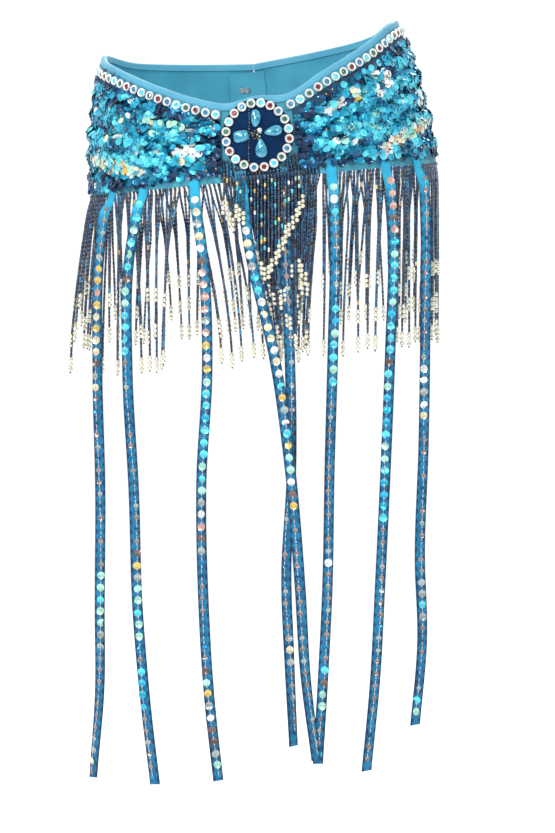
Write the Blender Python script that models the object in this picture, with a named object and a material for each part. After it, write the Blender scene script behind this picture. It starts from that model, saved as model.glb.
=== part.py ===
"""Sequin dance belt as it is worn on the hips: band, draped cloth, stones, medallion, fringe and ribbons.

Metres, +Z up, front towards -Y. The origin is the middle of the hips, inside the belt.

Each piece is drawn flat first, as a sewing pattern: x is the distance along the hem from centre front,
y is the height above the hem and z is the distance out from the inside of the band. Then place() lays
it on the worn belt, an elliptical cone that is tilted sideways. Below the hem, cloth hangs plumb.
"""
import math
from collections import namedtuple

import bmesh
import bpy
import numpy as np

# Hips that the belt is cut for
HEM_HALF_WIDTH = 0.171
HEM_HALF_DEPTH = 0.119
WIDTH_FLARE = 0.175     # half width lost for each metre of height
DEPTH_FLARE = 0.09
HEM_LEVEL = -0.070      # height of the hem's middle
TILT = math.radians(5.5)

# Thickness of the layers, from the inside out
GAP = 0.0003
BAND = 0.0020
CLOTH = 0.0015
DRAPE_CLOTH = 0.0018
RIBBON_CLOTH = 0.0012
FIRST = BAND + GAP                      # cloth that lies on the band
SECOND = FIRST + CLOTH + GAP            # medallion and ribbons on the first layer
THIRD = SECOND + RIBBON_CLOTH + GAP     # short fringe over a ribbon's end
FOURTH = THIRD + CLOTH + GAP            # ribbon over the short fringe

# Heights of the rows on the belt
HEADING = 0.0100        # the fringe's heading tape along the hem
BINDING_LEG = 0.0046
STONE_TAPE = 0.0090
CENTRE_BACK_GAP = 0.0005

TopPoint = namedtuple("TopPoint", "degrees height")
TOP_EDGE = (
    TopPoint(-180, 0.118), TopPoint(-130, 0.128), TopPoint(-90, 0.1360), TopPoint(-76, 0.1285),
    TopPoint(-64, 0.1215), TopPoint(-52, 0.1120), TopPoint(-35, 0.0955), TopPoint(-21, 0.0815),
    TopPoint(-11, 0.0740), TopPoint(0, 0.0785), TopPoint(10, 0.0775), TopPoint(25, 0.0960),
    TopPoint(47, 0.1190), TopPoint(66, 0.1370), TopPoint(90, 0.1440), TopPoint(130, 0.130),
    TopPoint(180, 0.118),
)

# Draped cloth: each fold is a ridge that runs from the medallion to centre back. near and far are its
# place between the drape's lower and upper edge, at the two ends of the fan.
DRAPE_START_LEFT = 0.0385
DRAPE_START_RIGHT = 0.0362
DRAPE_EASE = 0.0005     # the drape lies this much looser than a flat layer
DRAPE_ROWS = 16
FAN = 0.170             # the folds have spread out this far from the medallion
FAN_POWER = 1.6         # they spread fast at first, by this power
GATHER = 0.030          # the folds rise over this length
PINNED = 0.05           # share of the drape's height that is sewn flat at each edge
Fold = namedtuple("Fold", "near far rise width")
FOLDS_LEFT = (
    Fold(0.06, 0.07, 0.0022, 0.050), Fold(0.24, 0.27, 0.0056, 0.075), Fold(0.41, 0.46, 0.0068, 0.075),
    Fold(0.60, 0.65, 0.0048, 0.070), Fold(0.76, 0.80, 0.0038, 0.060), Fold(0.91, 0.93, 0.0022, 0.045),
)
FOLDS_RIGHT = (
    Fold(0.07, 0.09, 0.0030, 0.055), Fold(0.22, 0.30, 0.0056, 0.075), Fold(0.42, 0.48, 0.0048, 0.070),
    Fold(0.62, 0.66, 0.0060, 0.075), Fold(0.78, 0.82, 0.0036, 0.060), Fold(0.92, 0.94, 0.0020, 0.045),
)

# Row of set stones
STONE_PITCH = 0.0104    # along the hem, 9.3 mm at the row's own height
STONE_RISE = 0.0018
STONE_INSET = 0.0016
STONES_START = 0.0340   # arc where the row stops beside the medallion
STONES_A_SIDE = 40
CENTRE_LINES = 7        # lines across the plain centre between the two rows
STONES_TO_SIDE = 19     # the side seams come after this many stones

# Medallion
MEDALLION_ARC = -0.0015
MEDALLION_HEIGHT = 0.0425
MEDALLION_RADIUS = 0.0352
RIM_INNER = 0.0266
RIM_OUTER = 0.0358
RIM_STONES = 20
RIM_BASE = 0.0012
DISC_THICK = 0.0020
DISC_SQUARENESS = 0.35  # 1 is a round edge and 0 a square one
JEWEL_BACK = SECOND + DISC_THICK + GAP
# degrees is the way that a petal's outer end points, taper the share of its width lost towards the inner
# end, square how far its outline is a rounded rectangle, and bend its bow to the side as a share of length
Petal = namedtuple("Petal", "x y length width degrees taper square bend")
PETALS = (
    Petal(-0.0004, 0.0166, 0.0174, 0.0108, 84, 0.15, 0.0, 0.04),
    Petal(0.0158, 0.0027, 0.0182, 0.0112, 7, 0.28, 0.0, 0.0),
    Petal(0.0023, -0.0125, 0.0188, 0.0130, 269, 0.40, 0.0, 0.0),
    Petal(-0.0163, 0.0006, 0.0152, 0.0120, 187, 0.05, 0.4, 0.0),
)
PETAL_RISE = 0.0034
PETAL_BACK = 0.0006
CENTRE_STONE = Petal(0.0026, 0.0046, 0.0044, 0.0044, 0, 0.0, 0.0, 0.0)

# Beaded fringe. Strands of a clump lean together on their way down. The columns are arcs along the hem:
# a clump's two edges at the hem, the same two edges at full depth, and how far it leans out there.
CENTRE_FRINGE_END = 0.055
FRINGE_PITCH = 0.0066
BACK_PITCH = 0.0100
STRAND = 0.0022
BEAD_END = 0.0038
BEAD_END_LENGTH = 0.0135
BEAD_END_TAPER = 0.001   # half the length over which a strand thickens
STRAND_BEND = 0.45       # share of a strand's length where it has its one bend
FRINGE_DEPTH = 0.180
TIERS = (0.114, 0.180, 0.150)
BACK_TIERS = (0.105, 0.160, 0.135)
Clump = namedtuple("Clump", "start end low_start low_end lean")
CLUMPS = (
    Clump(-0.466, -0.400, -0.458, -0.424, 0.000), Clump(-0.400, -0.340, -0.390, -0.358, 0.000),
    Clump(-0.340, -0.280, -0.325, -0.293, 0.002), Clump(-0.280, -0.2316, -0.262, -0.236, 0.012),
    Clump(-0.2316, -0.200, -0.228, -0.208, 0.022), Clump(-0.200, -0.172, -0.198, -0.184, 0.002),
    Clump(-0.172, -0.137, -0.170, -0.142, 0.002), Clump(-0.137, -0.078, -0.123, -0.094, 0.001),
    Clump(-0.078, -0.040, -0.040, -0.019, 0.000), Clump(-0.040, 0.055, -0.006, 0.040, 0.000),
    Clump(0.055, 0.085, 0.056, 0.075, 0.000), Clump(0.085, 0.125, 0.090, 0.115, 0.000),
    Clump(0.125, 0.150, 0.130, 0.144, 0.001), Clump(0.150, 0.185, 0.152, 0.171, 0.002),
    Clump(0.185, 0.2316, 0.188, 0.214, 0.002), Clump(0.2316, 0.280, 0.236, 0.262, 0.002),
    Clump(0.280, 0.340, 0.293, 0.325, 0.000), Clump(0.340, 0.400, 0.358, 0.390, 0.000),
    Clump(0.400, 0.466, 0.424, 0.458, 0.000),
)

# Short fringe under the medallion, cut to a point
POINT_PITCH = 0.0050
POINT_HALF = 0.0400
POINT_HEADING = 0.0047
POINT_ARC = 0.0030
POINT_LENGTH = 0.101
POINT_SIDE_LENGTH = 0.026
POINT_STAND = 0.0055    # how far the short fringe swings out over the long one
POINT_SWING = 0.050     # drop over which it does so

# Ribbons. Drifts are sideways shifts along the hem at 12, 30, 50, 70, 85 and 100 % of the length.
RIBBON_WIDTH = 0.0095
RIBBON_OVERLAP = 0.0060  # length sewn on the heading tape
RIBBON_FLAT = 0.0020    # drop below the hem where it starts to swing out
RIBBON_OUT = 0.0100     # ribbons hang clear of the fringe
SIDE_RIBBON_OUT = 0.0120
FRONT_RIBBON_OUT = 0.0155
BACK_RIBBON_OUT = 0.0062
RIBBON_SWING = 0.020    # drop over which a ribbon comes out to that distance
RIBBON_ROWS = 12
RIBBON_HALF_TURNS = 1.5  # a ribbon turns to one side and back this often below the fringe
RIBBON_FACING = 0.75    # share of the way that it turns from the side of the hips to the front
RIBBON_SHARES = (0, 0.12, 0.30, 0.50, 0.70, 0.85, 1.0)
Ribbon = namedtuple("Ribbon", "arc length drifts turn level out")
RIBBONS = (
    Ribbon(-0.162, 0.586, (-0.013, -0.016, -0.012, -0.014, -0.015, -0.029), -16, SECOND, SIDE_RIBBON_OUT),
    Ribbon(-0.121, 0.587, (-0.014, -0.016, -0.009, -0.005, 0.003, 0.014), -20, SECOND, RIBBON_OUT),
    Ribbon(-0.067, 0.585, (0.010, 0.014, 0.008, 0.010, 0.015, 0.024), 20, SECOND, RIBBON_OUT),
    Ribbon(-0.021, 0.573, (0.009, 0.031, 0.046, 0.055, 0.060, 0.070), 25, FOURTH, FRONT_RIBBON_OUT),
    Ribbon(0.021, 0.558, (0.000, 0.004, 0.006, 0.001, 0.004, 0.008), 35, SECOND, BACK_RIBBON_OUT),
    Ribbon(0.066, 0.578, (0.002, 0.000, -0.003, -0.005, -0.009, -0.014), -20, SECOND, RIBBON_OUT),
    Ribbon(0.124, 0.593, (0.005, 0.002, -0.003, -0.009, -0.014, -0.023), 22, SECOND, RIBBON_OUT),
    Ribbon(0.166, 0.558, (0.004, 0.004, 0.002, -0.003, 0.001, -0.009), 16, SECOND, SIDE_RIBBON_OUT),
)

# Centre back closure
UNDERLAP = 0.0300
UNDERLAP_SEWN = 0.0120
UNDERLAP_THICK = 0.0015
UNDERLAP_LOW = 0.004     # its lower edge above the hem
UNDERLAP_CLEAR = 0.002   # room left under the binding
HOOKS = 3
HOOK_SIZE = (0.014, 0.006, 0.0012)
HOOK_INSET = 0.006       # past centre back

Finish = namedtuple("Finish", "colour roughness metallic")
FINISHES = {
    "base_cloth": Finish((0.115, 0.520, 0.740, 1.0), 0.65, 0.0),
    "sequin_cloth": Finish((0.020, 0.300, 0.500, 1.0), 0.25, 0.4),
    "set_stones": Finish((0.860, 0.850, 0.830, 1.0), 0.15, 0.8),
    "medallion_cloth": Finish((0.006, 0.020, 0.100, 1.0), 0.80, 0.0),
    "blue_glass": Finish((0.045, 0.420, 0.640, 1.0), 0.08, 0.0),
    "bead_strands": Finish((0.010, 0.090, 0.220, 1.0), 0.20, 0.3),
    "ribbon_cloth": Finish((0.010, 0.250, 0.480, 1.0), 0.55, 0.0),
    "hook_metal": Finish((0.700, 0.700, 0.720, 1.0), 0.30, 1.0),
}


def hem_run():
    """Angles round the hem, a little past centre back on both sides, and their arcs from centre front."""
    angle = np.linspace(-1.2 * math.pi, 1.2 * math.pi, 3457)
    x, y = HEM_HALF_WIDTH * np.sin(angle), HEM_HALF_DEPTH * np.cos(angle)
    run = np.concatenate([[0.0], np.cumsum(np.hypot(np.diff(x), np.diff(y)))])
    return angle, run - run[len(run) // 2]


HEM_ANGLE, HEM_ARC = hem_run()
HALF_GIRTH = float(np.interp(math.pi, HEM_ANGLE, HEM_ARC))
BACK_END = HALF_GIRTH - CENTRE_BACK_GAP

# Lines that the layers share, one between each two stones, so that they lie on each other evenly
STONE_LINES = STONES_START + STONE_PITCH * np.arange(STONES_A_SIDE + 1)
QUARTER = float(STONE_LINES[STONES_TO_SIDE])
LINES = np.concatenate([
    [-BACK_END], -STONE_LINES[:0:-1], np.linspace(-STONES_START, STONES_START, CENTRE_LINES),
    STONE_LINES[1:], [BACK_END],
])


def place(arc, height, out):
    """Point on the worn belt for a point of the flat pattern."""
    angle = np.interp(arc, HEM_ARC, HEM_ANGLE)
    rise, drop = np.maximum(height, 0.0), np.minimum(height, 0.0)
    half_width = HEM_HALF_WIDTH - WIDTH_FLARE * rise
    half_depth = HEM_HALF_DEPTH - DEPTH_FLARE * rise
    normal_x, normal_y = np.sin(angle) / half_width, -np.cos(angle) / half_depth
    size = np.hypot(normal_x, normal_y)
    x = half_width * np.sin(angle) + out * normal_x / size
    y = -half_depth * np.cos(angle) + out * normal_y / size
    z = HEM_LEVEL + rise
    tilted_x = x * math.cos(TILT) - z * math.sin(TILT)
    tilted_z = x * math.sin(TILT) + z * math.cos(TILT)
    return np.stack([tilted_x, y, tilted_z + drop], axis=-1)


def smooth(x, xs, ys):
    """Smooth curve through the points (xs, ys), each point's slope taken from its neighbours."""
    xs, ys = np.asarray(xs, float), np.asarray(ys, float)
    slope = np.gradient(ys, xs)
    left = np.clip(np.searchsorted(xs, x) - 1, 0, len(xs) - 2)
    width = xs[left + 1] - xs[left]
    t = np.clip((x - xs[left]) / width, 0.0, 1.0)
    return (
        (1 + 2 * t) * (1 - t) ** 2 * ys[left] + t * t * (3 - 2 * t) * ys[left + 1]
        + width * t * (1 - t) * ((1 - t) * slope[left] - t * slope[left + 1])
    )


def top_height(arc):
    """Height of the belt's top edge above the hem."""
    around = (arc + HALF_GIRTH) % (2 * HALF_GIRTH) - HALF_GIRTH
    degrees = np.degrees(np.interp(around, HEM_ARC, HEM_ANGLE))
    return smooth(degrees, [p.degrees for p in TOP_EDGE], [p.height for p in TOP_EDGE])


def lines_between(first, last):
    """The shared lines between two arcs, with the arcs themselves at the ends."""
    inside = LINES[(LINES > first + 2 * GAP) & (LINES < last - 2 * GAP)]
    return np.concatenate([[first], inside, [last]])


def ease(share):
    """Goes from 0 to 1, fast at first and slow at the end."""
    return 1.0 - (1.0 - np.clip(share, 0.0, 1.0)) ** FAN_POWER


def soft_step(share):
    """Goes from 0 to 1 with a slow start and end."""
    t = np.clip(share, 0.0, 1.0)
    return t * t * (3.0 - 2.0 * t)


def material(finish):
    """Material of a finish, made once."""
    made = bpy.data.materials.get(finish)
    if made:
        return made
    made = bpy.data.materials.new(finish)
    made.use_nodes = True
    shader = made.node_tree.nodes["Principled BSDF"]
    shader.inputs["Base Color"].default_value = FINISHES[finish].colour
    shader.inputs["Roughness"].default_value = FINISHES[finish].roughness
    shader.inputs["Metallic"].default_value = FINISHES[finish].metallic
    made.diffuse_color = FINISHES[finish].colour
    return made


def lay(bm, name, finish, collection):
    """Lays a flat piece on the worn belt and makes it an object of its own."""
    flat = np.array([vert.co[:] for vert in bm.verts])
    for vert, point in zip(bm.verts, place(flat[:, 0], flat[:, 1], flat[:, 2])):
        vert.co = point
    mesh = bpy.data.meshes.new(name)
    bm.to_mesh(mesh)
    bm.free()
    mesh.shade_smooth()
    mesh.set_sharp_from_angle(angle=math.radians(35))
    mesh.materials.append(material(finish))
    piece = bpy.data.objects.new(name, mesh)
    collection.objects.link(piece)
    return piece


def wall(across, up, inner, outer):
    """Closed flat wall on a grid of the lines across and up.

    inner and outer turn the lines' values into the arc, height and distance out of the two skins.
    """
    bm = bmesh.new()
    bmesh.ops.create_grid(bm, x_segments=len(across) - 1, y_segments=len(up) - 1, size=0.5)
    inner_verts = bm.verts[:]
    made = bmesh.ops.extrude_face_region(bm, geom=bm.faces[:], use_keep_orig=True)["geom"]
    outer_verts = [item for item in made if isinstance(item, bmesh.types.BMVert)]
    across, up = np.asarray(across, float), np.asarray(up, float)
    for verts, skin in ((inner_verts, inner), (outer_verts, outer)):
        grid = np.array([vert.co[:2] for vert in verts]) + 0.5
        column = np.rint(grid[:, 0] * (len(across) - 1)).astype(int)
        row = np.rint(grid[:, 1] * (len(up) - 1)).astype(int)
        for vert, point in zip(verts, np.stack(skin(across[column], up[row]), axis=-1)):
            vert.co = point
    bmesh.ops.recalc_face_normals(bm, faces=bm.faces[:])
    return bm


def strip(across, low, high, back, thick, rows=1):
    """Flat wall between two heights, given as values or as functions of the arc."""
    low_at = low if callable(low) else lambda arc: low + 0.0 * arc
    high_at = high if callable(high) else lambda arc: high + 0.0 * arc

    def skin(out):
        return lambda arc, share: (arc, low_at(arc) + share * (high_at(arc) - low_at(arc)), out + 0.0 * arc)

    return wall(across, np.linspace(0.0, 1.0, rows + 1), skin(back), skin(back + thick))


def draw_on(bm, face, steps):
    """Extrudes a face step by step. Each step is the new centre and the scale across and out."""
    for centre, scale_x, scale_z in steps:
        face = bmesh.ops.extrude_discrete_faces(bm, faces=[face])["faces"][0]
        old = face.calc_center_median()
        for vert in face.verts:
            offset = vert.co - old
            vert.co = (
                centre[0] + offset.x * scale_x,
                centre[1] + offset.y,
                centre[2] + offset.z * scale_z,
            )


def ball(across, up, centre, half_size, shape):
    """Closed round piece: a sphere whose unit points shape() turns into the flat pattern."""
    bm = bmesh.new()
    bmesh.ops.create_uvsphere(bm, u_segments=across, v_segments=up, radius=1.0)
    unit = np.array([vert.co[:] for vert in bm.verts])
    for vert, point in zip(bm.verts, shape(unit) * np.asarray(half_size) + np.asarray(centre)):
        vert.co = point
    return bm


def make_band(collection):
    """Firm plain cloth in three lengths, the front one and two that meet at centre back."""
    seam = 0.5 * GAP
    lengths = (
        ("band_front", -QUARTER + seam, QUARTER - seam),
        ("band_back_left", -BACK_END, -QUARTER - seam),
        ("band_back_right", QUARTER + seam, BACK_END),
    )
    for name, first, last in lengths:
        arcs = lines_between(first, last)
        lay(strip(arcs, 0.0, top_height, 0.0, BAND), name, "base_cloth", collection)


def make_closure(collection):
    """Underlap at centre back, sewn to the right end, with flat hooks that hold the left end."""
    back = -GAP - UNDERLAP_THICK
    arcs = np.linspace(HALF_GIRTH - UNDERLAP_SEWN, HALF_GIRTH + UNDERLAP, 5)
    low = UNDERLAP_LOW
    high = float(top_height(HALF_GIRTH)) - BINDING_LEG - UNDERLAP_CLEAR
    lay(strip(arcs, low, high, back, UNDERLAP_THICK), "back_underlap", "base_cloth", collection)
    length, height, thick = HOOK_SIZE
    start = HALF_GIRTH + HOOK_INSET
    for number in range(HOOKS):
        middle = low + (high - low) * (number + 0.5) / HOOKS
        arcs = np.linspace(start, start + length, 3)
        hook = strip(arcs, middle - height / 2, middle + height / 2, back - GAP - thick, thick)
        lay(hook, f"back_hook_{number + 1}", "hook_metal", collection)


def make_binding(collection):
    """Plain binding folded over the top edge: a U drawn along it from centre back to centre back."""
    low, bed, crown = -BINDING_LEG, GAP, GAP + CLOTH
    inside, outside = -GAP, FIRST
    profile = (
        (low, inside - CLOTH), (crown, inside - CLOTH), (crown, outside + CLOTH), (low, outside + CLOTH),
        (low, outside), (bed, outside), (bed, inside), (low, inside),
    )
    arcs = LINES
    heights = top_height(arcs)
    bm = bmesh.new()
    corners = [bm.verts.new((arcs[0], heights[0] + height, out)) for height, out in profile]
    face = bm.faces.new(corners)
    centre = face.calc_center_median()
    steps = [((arc, centre.y + height - heights[0], centre.z), 1.0, 1.0)
             for arc, height in zip(arcs[1:], heights[1:])]
    draw_on(bm, face, steps)
    bm.faces.new(corners)
    bmesh.ops.recalc_face_normals(bm, faces=bm.faces[:])
    lay(bm, "binding", "base_cloth", collection)


def fold_rise(reach, share, folds):
    """How far the draped cloth stands out: ridges that fan out from the medallion, pinned at all edges."""
    fan = ease(reach / FAN)
    strength = soft_step(reach / GATHER) * soft_step((HALF_GIRTH - reach) / FAN)
    rise = np.zeros_like(share)
    for fold in folds:
        middle = fold.near + (fold.far - fold.near) * fan
        rise = rise + fold.rise * np.exp(-((share - middle) / fold.width) ** 2)
    pinned = soft_step(share / PINNED) * soft_step((1.0 - share) / PINNED)
    return rise * strength * pinned


def make_drape(name, side, start, folds, collection):
    """Sequin cloth of one side, gathered at the medallion and fanned out to centre back."""
    low = HEADING + GAP

    def high_at(arc):
        return top_height(arc) - BINDING_LEG - STONE_TAPE - 3 * GAP

    def skin(extra):
        def points(reach, share):
            arc = side * (start + reach)
            rise = fold_rise(reach, share, folds)
            return arc, low + share * (high_at(arc) - low), FIRST + DRAPE_EASE + rise + extra
        return points

    lines = STONE_LINES[STONE_LINES > start + GAP]
    near = lines[:4]
    reach = np.concatenate([[start], near, lines[5::2], [BACK_END]]) - start
    share = np.linspace(0.0, 1.0, DRAPE_ROWS + 1)
    lay(wall(reach, share, skin(0.0), skin(DRAPE_CLOTH)), name, "sequin_cloth", collection)


def raise_stones(bm):
    """Raises a stone on each face that looks out."""
    fronts = [face for face in bm.faces if face.normal.z > 0.9]
    bmesh.ops.inset_individual(bm, faces=fronts, thickness=STONE_INSET, depth=STONE_RISE)


def make_stone_row(name, side, collection):
    """Tape of one side with a raised stone at each step, just under the binding."""

    def high_at(arc):
        return top_height(arc) - BINDING_LEG - GAP

    def low_at(arc):
        return high_at(arc) - STONE_TAPE

    bm = strip(np.sort(side * STONE_LINES), low_at, high_at, FIRST, CLOTH - GAP)
    raise_stones(bm)
    lay(bm, name, "set_stones", collection)


def make_medallion(collection):
    """Covered disc with a rim of set stones, four petals and a small stone between them."""
    def cushion(unit):
        flat = np.sign(unit[:, 2]) * np.abs(unit[:, 2]) ** DISC_SQUARENESS
        return np.stack([unit[:, 0], unit[:, 1], flat], axis=-1)

    centre = (MEDALLION_ARC, MEDALLION_HEIGHT, SECOND + DISC_THICK / 2)
    half_size = (MEDALLION_RADIUS, MEDALLION_RADIUS, DISC_THICK / 2)
    lay(ball(28, 8, centre, half_size, cushion), "medallion_disc", "medallion_cloth", collection)

    bm = bmesh.new()
    section = [(RIM_INNER, 0.0), (RIM_OUTER, 0.0), (RIM_OUTER, RIM_BASE), (RIM_INNER, RIM_BASE)]
    corners = [bm.verts.new((x, 0.0, z)) for x, z in section]
    edges = [bm.edges.new((corners[k], corners[(k + 1) % 4])) for k in range(4)]
    bmesh.ops.spin(
        bm, geom=corners + edges, axis=(0, 0, 1), cent=(0, 0, 0), angle=2 * math.pi, steps=RIM_STONES,
        use_merge=True,
    )
    bmesh.ops.recalc_face_normals(bm, faces=bm.faces[:])
    raise_stones(bm)
    bmesh.ops.translate(bm, verts=bm.verts[:], vec=(MEDALLION_ARC, MEDALLION_HEIGHT, JEWEL_BACK))
    lay(bm, "medallion_rim", "set_stones", collection)

    for number, petal in enumerate(PETALS, 1):
        lay(jewel(petal, PETAL_RISE), f"medallion_petal_{number}", "blue_glass", collection)
    lay(jewel(CENTRE_STONE, PETAL_RISE / 2), "medallion_centre", "set_stones", collection)


def jewel(petal, rise):
    """Stone with a flat back and a domed front, tapered, squared and bent as its row of the table says."""
    turn = math.radians(petal.degrees)
    power = 1.0 - petal.square

    def shape(unit):
        along = np.sign(unit[:, 0]) * np.abs(unit[:, 0]) ** power
        wide = np.sign(unit[:, 1]) * np.abs(unit[:, 1]) ** power * (1.0 + petal.taper * (along - 0.4))
        high = unit[:, 2]
        x = along * petal.length / 2
        y = wide * petal.width / 2 + petal.bend * petal.length * (along ** 2 - 0.4)
        z = np.where(high > 0, high, 0.0) * rise
        return np.stack([
            x * math.cos(turn) - y * math.sin(turn), x * math.sin(turn) + y * math.cos(turn), z,
        ], axis=-1)

    def backed(unit):
        body = shape(unit)
        body[:, 2] = np.where(unit[:, 2] < 0, unit[:, 2] * PETAL_BACK, body[:, 2])
        return body

    centre = (MEDALLION_ARC + petal.x, MEDALLION_HEIGHT + petal.y, JEWEL_BACK + PETAL_BACK)
    return ball(12, 6, centre, (1.0, 1.0, 1.0), backed)


def strand_path(arc, drop):
    """Arc and extra distance out of a strand at a drop, as its clump leans together."""
    clump = next(c for c in CLUMPS if c.start <= arc <= c.end)
    share = (arc - clump.start) / (clump.end - clump.start)
    low = clump.low_start + share * (clump.low_end - clump.low_start)
    pull = float(ease(drop / FRINGE_DEPTH))
    return arc + (low - arc) * pull, clump.lean * pull


def hang_strands(bm, roots, lengths, centre_at):
    """Draws a strand with a thick bead end down from each root face on the heading's lower edge."""
    thick = BEAD_END / STRAND
    deep = BEAD_END / CLOTH
    bottoms = [face for face in bm.faces if face.normal.y < -0.9]
    bottoms.sort(key=lambda face: face.calc_center_median().x)
    for root, length, face in zip(roots, lengths, bottoms[1::2]):
        thickens = length - BEAD_END_LENGTH
        stops = (
            (STRAND_BEND * length, 1.0, 1.0), (thickens - BEAD_END_TAPER, 1.0, 1.0),
            (thickens + BEAD_END_TAPER, thick, deep), (length, 1.0, 1.0),
        )
        steps = []
        for drop, scale_x, scale_z in stops:
            arc, out = centre_at(root, drop)
            steps.append(((arc, -drop, out), scale_x, scale_z))
        draw_on(bm, face, steps)


def heading(first, last, roots, high, back):
    """Heading tape with a narrow root face under each strand."""
    edges = [first]
    for root in roots:
        edges += [root - STRAND / 2, root + STRAND / 2]
    return strip(edges + [last], 0.0, high, back, CLOTH)


def make_fringe(name, first, last, pitch, tiers, collection):
    """Length of beaded fringe between two arcs, on its heading tape along the hem."""
    count = int((last - first) / pitch)
    step = (last - first) / count
    roots = [first + (number + 0.5) * step for number in range(count)]
    bm = heading(first, last, roots, HEADING, FIRST)

    def centre_at(root, drop):
        arc, lean = strand_path(root, drop)
        return arc, FIRST + CLOTH / 2 + lean

    lengths = [tiers[number % len(tiers)] for number in range(count)]
    hang_strands(bm, roots, lengths, centre_at)
    lay(bm, name, "bead_strands", collection)


def make_point_fringe(collection):
    """Short fringe under the medallion, longest at its point."""
    count = int(2 * POINT_HALF / POINT_PITCH)
    roots = [-POINT_HALF + (number + 0.5) * POINT_PITCH for number in range(count)]
    bm = heading(-POINT_HALF, POINT_HALF, roots, POINT_HEADING, THIRD)
    lengths = []
    for root in roots:
        side = -POINT_HALF if root < POINT_ARC else POINT_HALF
        share = (root - side) / (POINT_ARC - side)
        lengths.append(POINT_SIDE_LENGTH + share * (POINT_LENGTH - POINT_SIDE_LENGTH))

    def centre_at(root, drop):
        return root, THIRD + CLOTH / 2 + POINT_STAND * min(drop / POINT_SWING, 1.0)

    hang_strands(bm, roots, lengths, centre_at)
    lay(bm, "fringe_medallion", "bead_strands", collection)


def facing(arc):
    """Angle by which a ribbon at an arc turns from the side of the hips towards the front."""
    angle = float(np.interp(arc, HEM_ARC, HEM_ANGLE))
    outward = math.atan2(math.sin(angle) / HEM_HALF_WIDTH, math.cos(angle) / HEM_HALF_DEPTH)
    return RIBBON_FACING * outward


def make_ribbon(number, ribbon, collection):
    """Long ribbon sewn over the heading tape, which swings clear of the fringe and hangs to its own tip."""
    half = RIBBON_WIDTH / 2
    rest = np.linspace(RIBBON_SWING, ribbon.length, RIBBON_ROWS + 1)
    drops = np.concatenate([[-RIBBON_OVERLAP, 0.0, RIBBON_FLAT], rest])
    top_out = ribbon.level + RIBBON_CLOTH / 2

    def skin(side):
        def points(drop, across):
            share = np.clip(drop / ribbon.length, 0.0, 1.0)
            arc = ribbon.arc + smooth(share, RIBBON_SHARES, (0.0,) + ribbon.drifts)
            swing = soft_step((drop - RIBBON_FLAT) / (RIBBON_SWING - RIBBON_FLAT))
            out = top_out + (ribbon.out - top_out) * swing
            below = np.clip((drop - FRINGE_DEPTH) / (ribbon.length - FRINGE_DEPTH), 0.0, 1.0)
            sway = np.radians(ribbon.turn) * np.sin(RIBBON_HALF_TURNS * math.pi * below)
            turn = facing(ribbon.arc) * swing + sway
            wide, deep = across * half, side * RIBBON_CLOTH / 2
            return (
                arc + wide * np.cos(turn) - deep * np.sin(turn), -drop,
                out + wide * np.sin(turn) + deep * np.cos(turn),
            )
        return points

    lay(wall(drops, (-1.0, 1.0), skin(-1), skin(1)), f"ribbon_{number}", "ribbon_cloth", collection)


def build():
    """Makes the whole belt in one collection."""
    for old in list(bpy.data.objects):
        bpy.data.objects.remove(old, do_unlink=True)
    collection = bpy.data.collections.new("sequin_belt")
    bpy.context.scene.collection.children.link(collection)

    make_band(collection)
    make_closure(collection)
    make_binding(collection)
    make_drape("drape_left", -1, DRAPE_START_LEFT, FOLDS_LEFT, collection)
    make_drape("drape_right", 1, DRAPE_START_RIGHT, FOLDS_RIGHT, collection)
    make_stone_row("stone_row_left", -1, collection)
    make_stone_row("stone_row_right", 1, collection)
    make_medallion(collection)

    seam = 0.5 * GAP
    fringes = (
        ("fringe_back_left", -BACK_END, -QUARTER - seam, BACK_PITCH, BACK_TIERS),
        ("fringe_front_left", -QUARTER + seam, -POINT_HALF - seam, FRINGE_PITCH, TIERS),
        ("fringe_front_centre", -POINT_HALF + seam, CENTRE_FRINGE_END - seam, FRINGE_PITCH, TIERS),
        ("fringe_front_right", CENTRE_FRINGE_END + seam, QUARTER - seam, FRINGE_PITCH, TIERS),
        ("fringe_back_right", QUARTER + seam, BACK_END, BACK_PITCH, BACK_TIERS),
    )
    for name, first, last, pitch, tiers in fringes:
        make_fringe(name, first, last, pitch, tiers, collection)
    make_point_fringe(collection)
    for number, ribbon in enumerate(RIBBONS, 1):
        make_ribbon(number, ribbon, collection)


build()
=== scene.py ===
"""Sequin dance belt: its cloth, sequins, stones, beaded fringe and ribbons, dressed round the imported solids.

Each piece is worked out flat first, as on a cutting table: x is the distance along the hem from centre front,
y is the height above the hem and z is the distance out from the inside of the band. Then place() lays it on
the worn belt, an elliptical cone that is tilted sideways. Below the hem, cloth and beads hang plumb.
"""
import math
from collections import namedtuple

import bpy
import numpy as np
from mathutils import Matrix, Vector


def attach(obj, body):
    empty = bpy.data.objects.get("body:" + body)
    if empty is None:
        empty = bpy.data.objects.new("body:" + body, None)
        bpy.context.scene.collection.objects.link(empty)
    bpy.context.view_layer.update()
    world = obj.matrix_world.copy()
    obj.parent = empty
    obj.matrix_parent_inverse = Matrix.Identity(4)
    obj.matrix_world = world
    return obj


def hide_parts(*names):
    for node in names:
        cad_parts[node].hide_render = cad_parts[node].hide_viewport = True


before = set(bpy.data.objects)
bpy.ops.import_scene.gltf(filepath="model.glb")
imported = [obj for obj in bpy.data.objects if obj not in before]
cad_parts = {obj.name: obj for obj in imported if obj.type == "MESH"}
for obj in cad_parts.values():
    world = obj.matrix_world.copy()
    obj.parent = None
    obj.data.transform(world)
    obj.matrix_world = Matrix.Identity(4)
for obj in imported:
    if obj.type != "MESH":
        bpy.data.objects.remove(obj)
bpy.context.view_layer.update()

# Hips that the belt is cut for
HEM_HALF_WIDTH = 0.171
HEM_HALF_DEPTH = 0.119
WIDTH_FLARE = 0.175
DEPTH_FLARE = 0.09
HEM_LEVEL = -0.070
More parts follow.
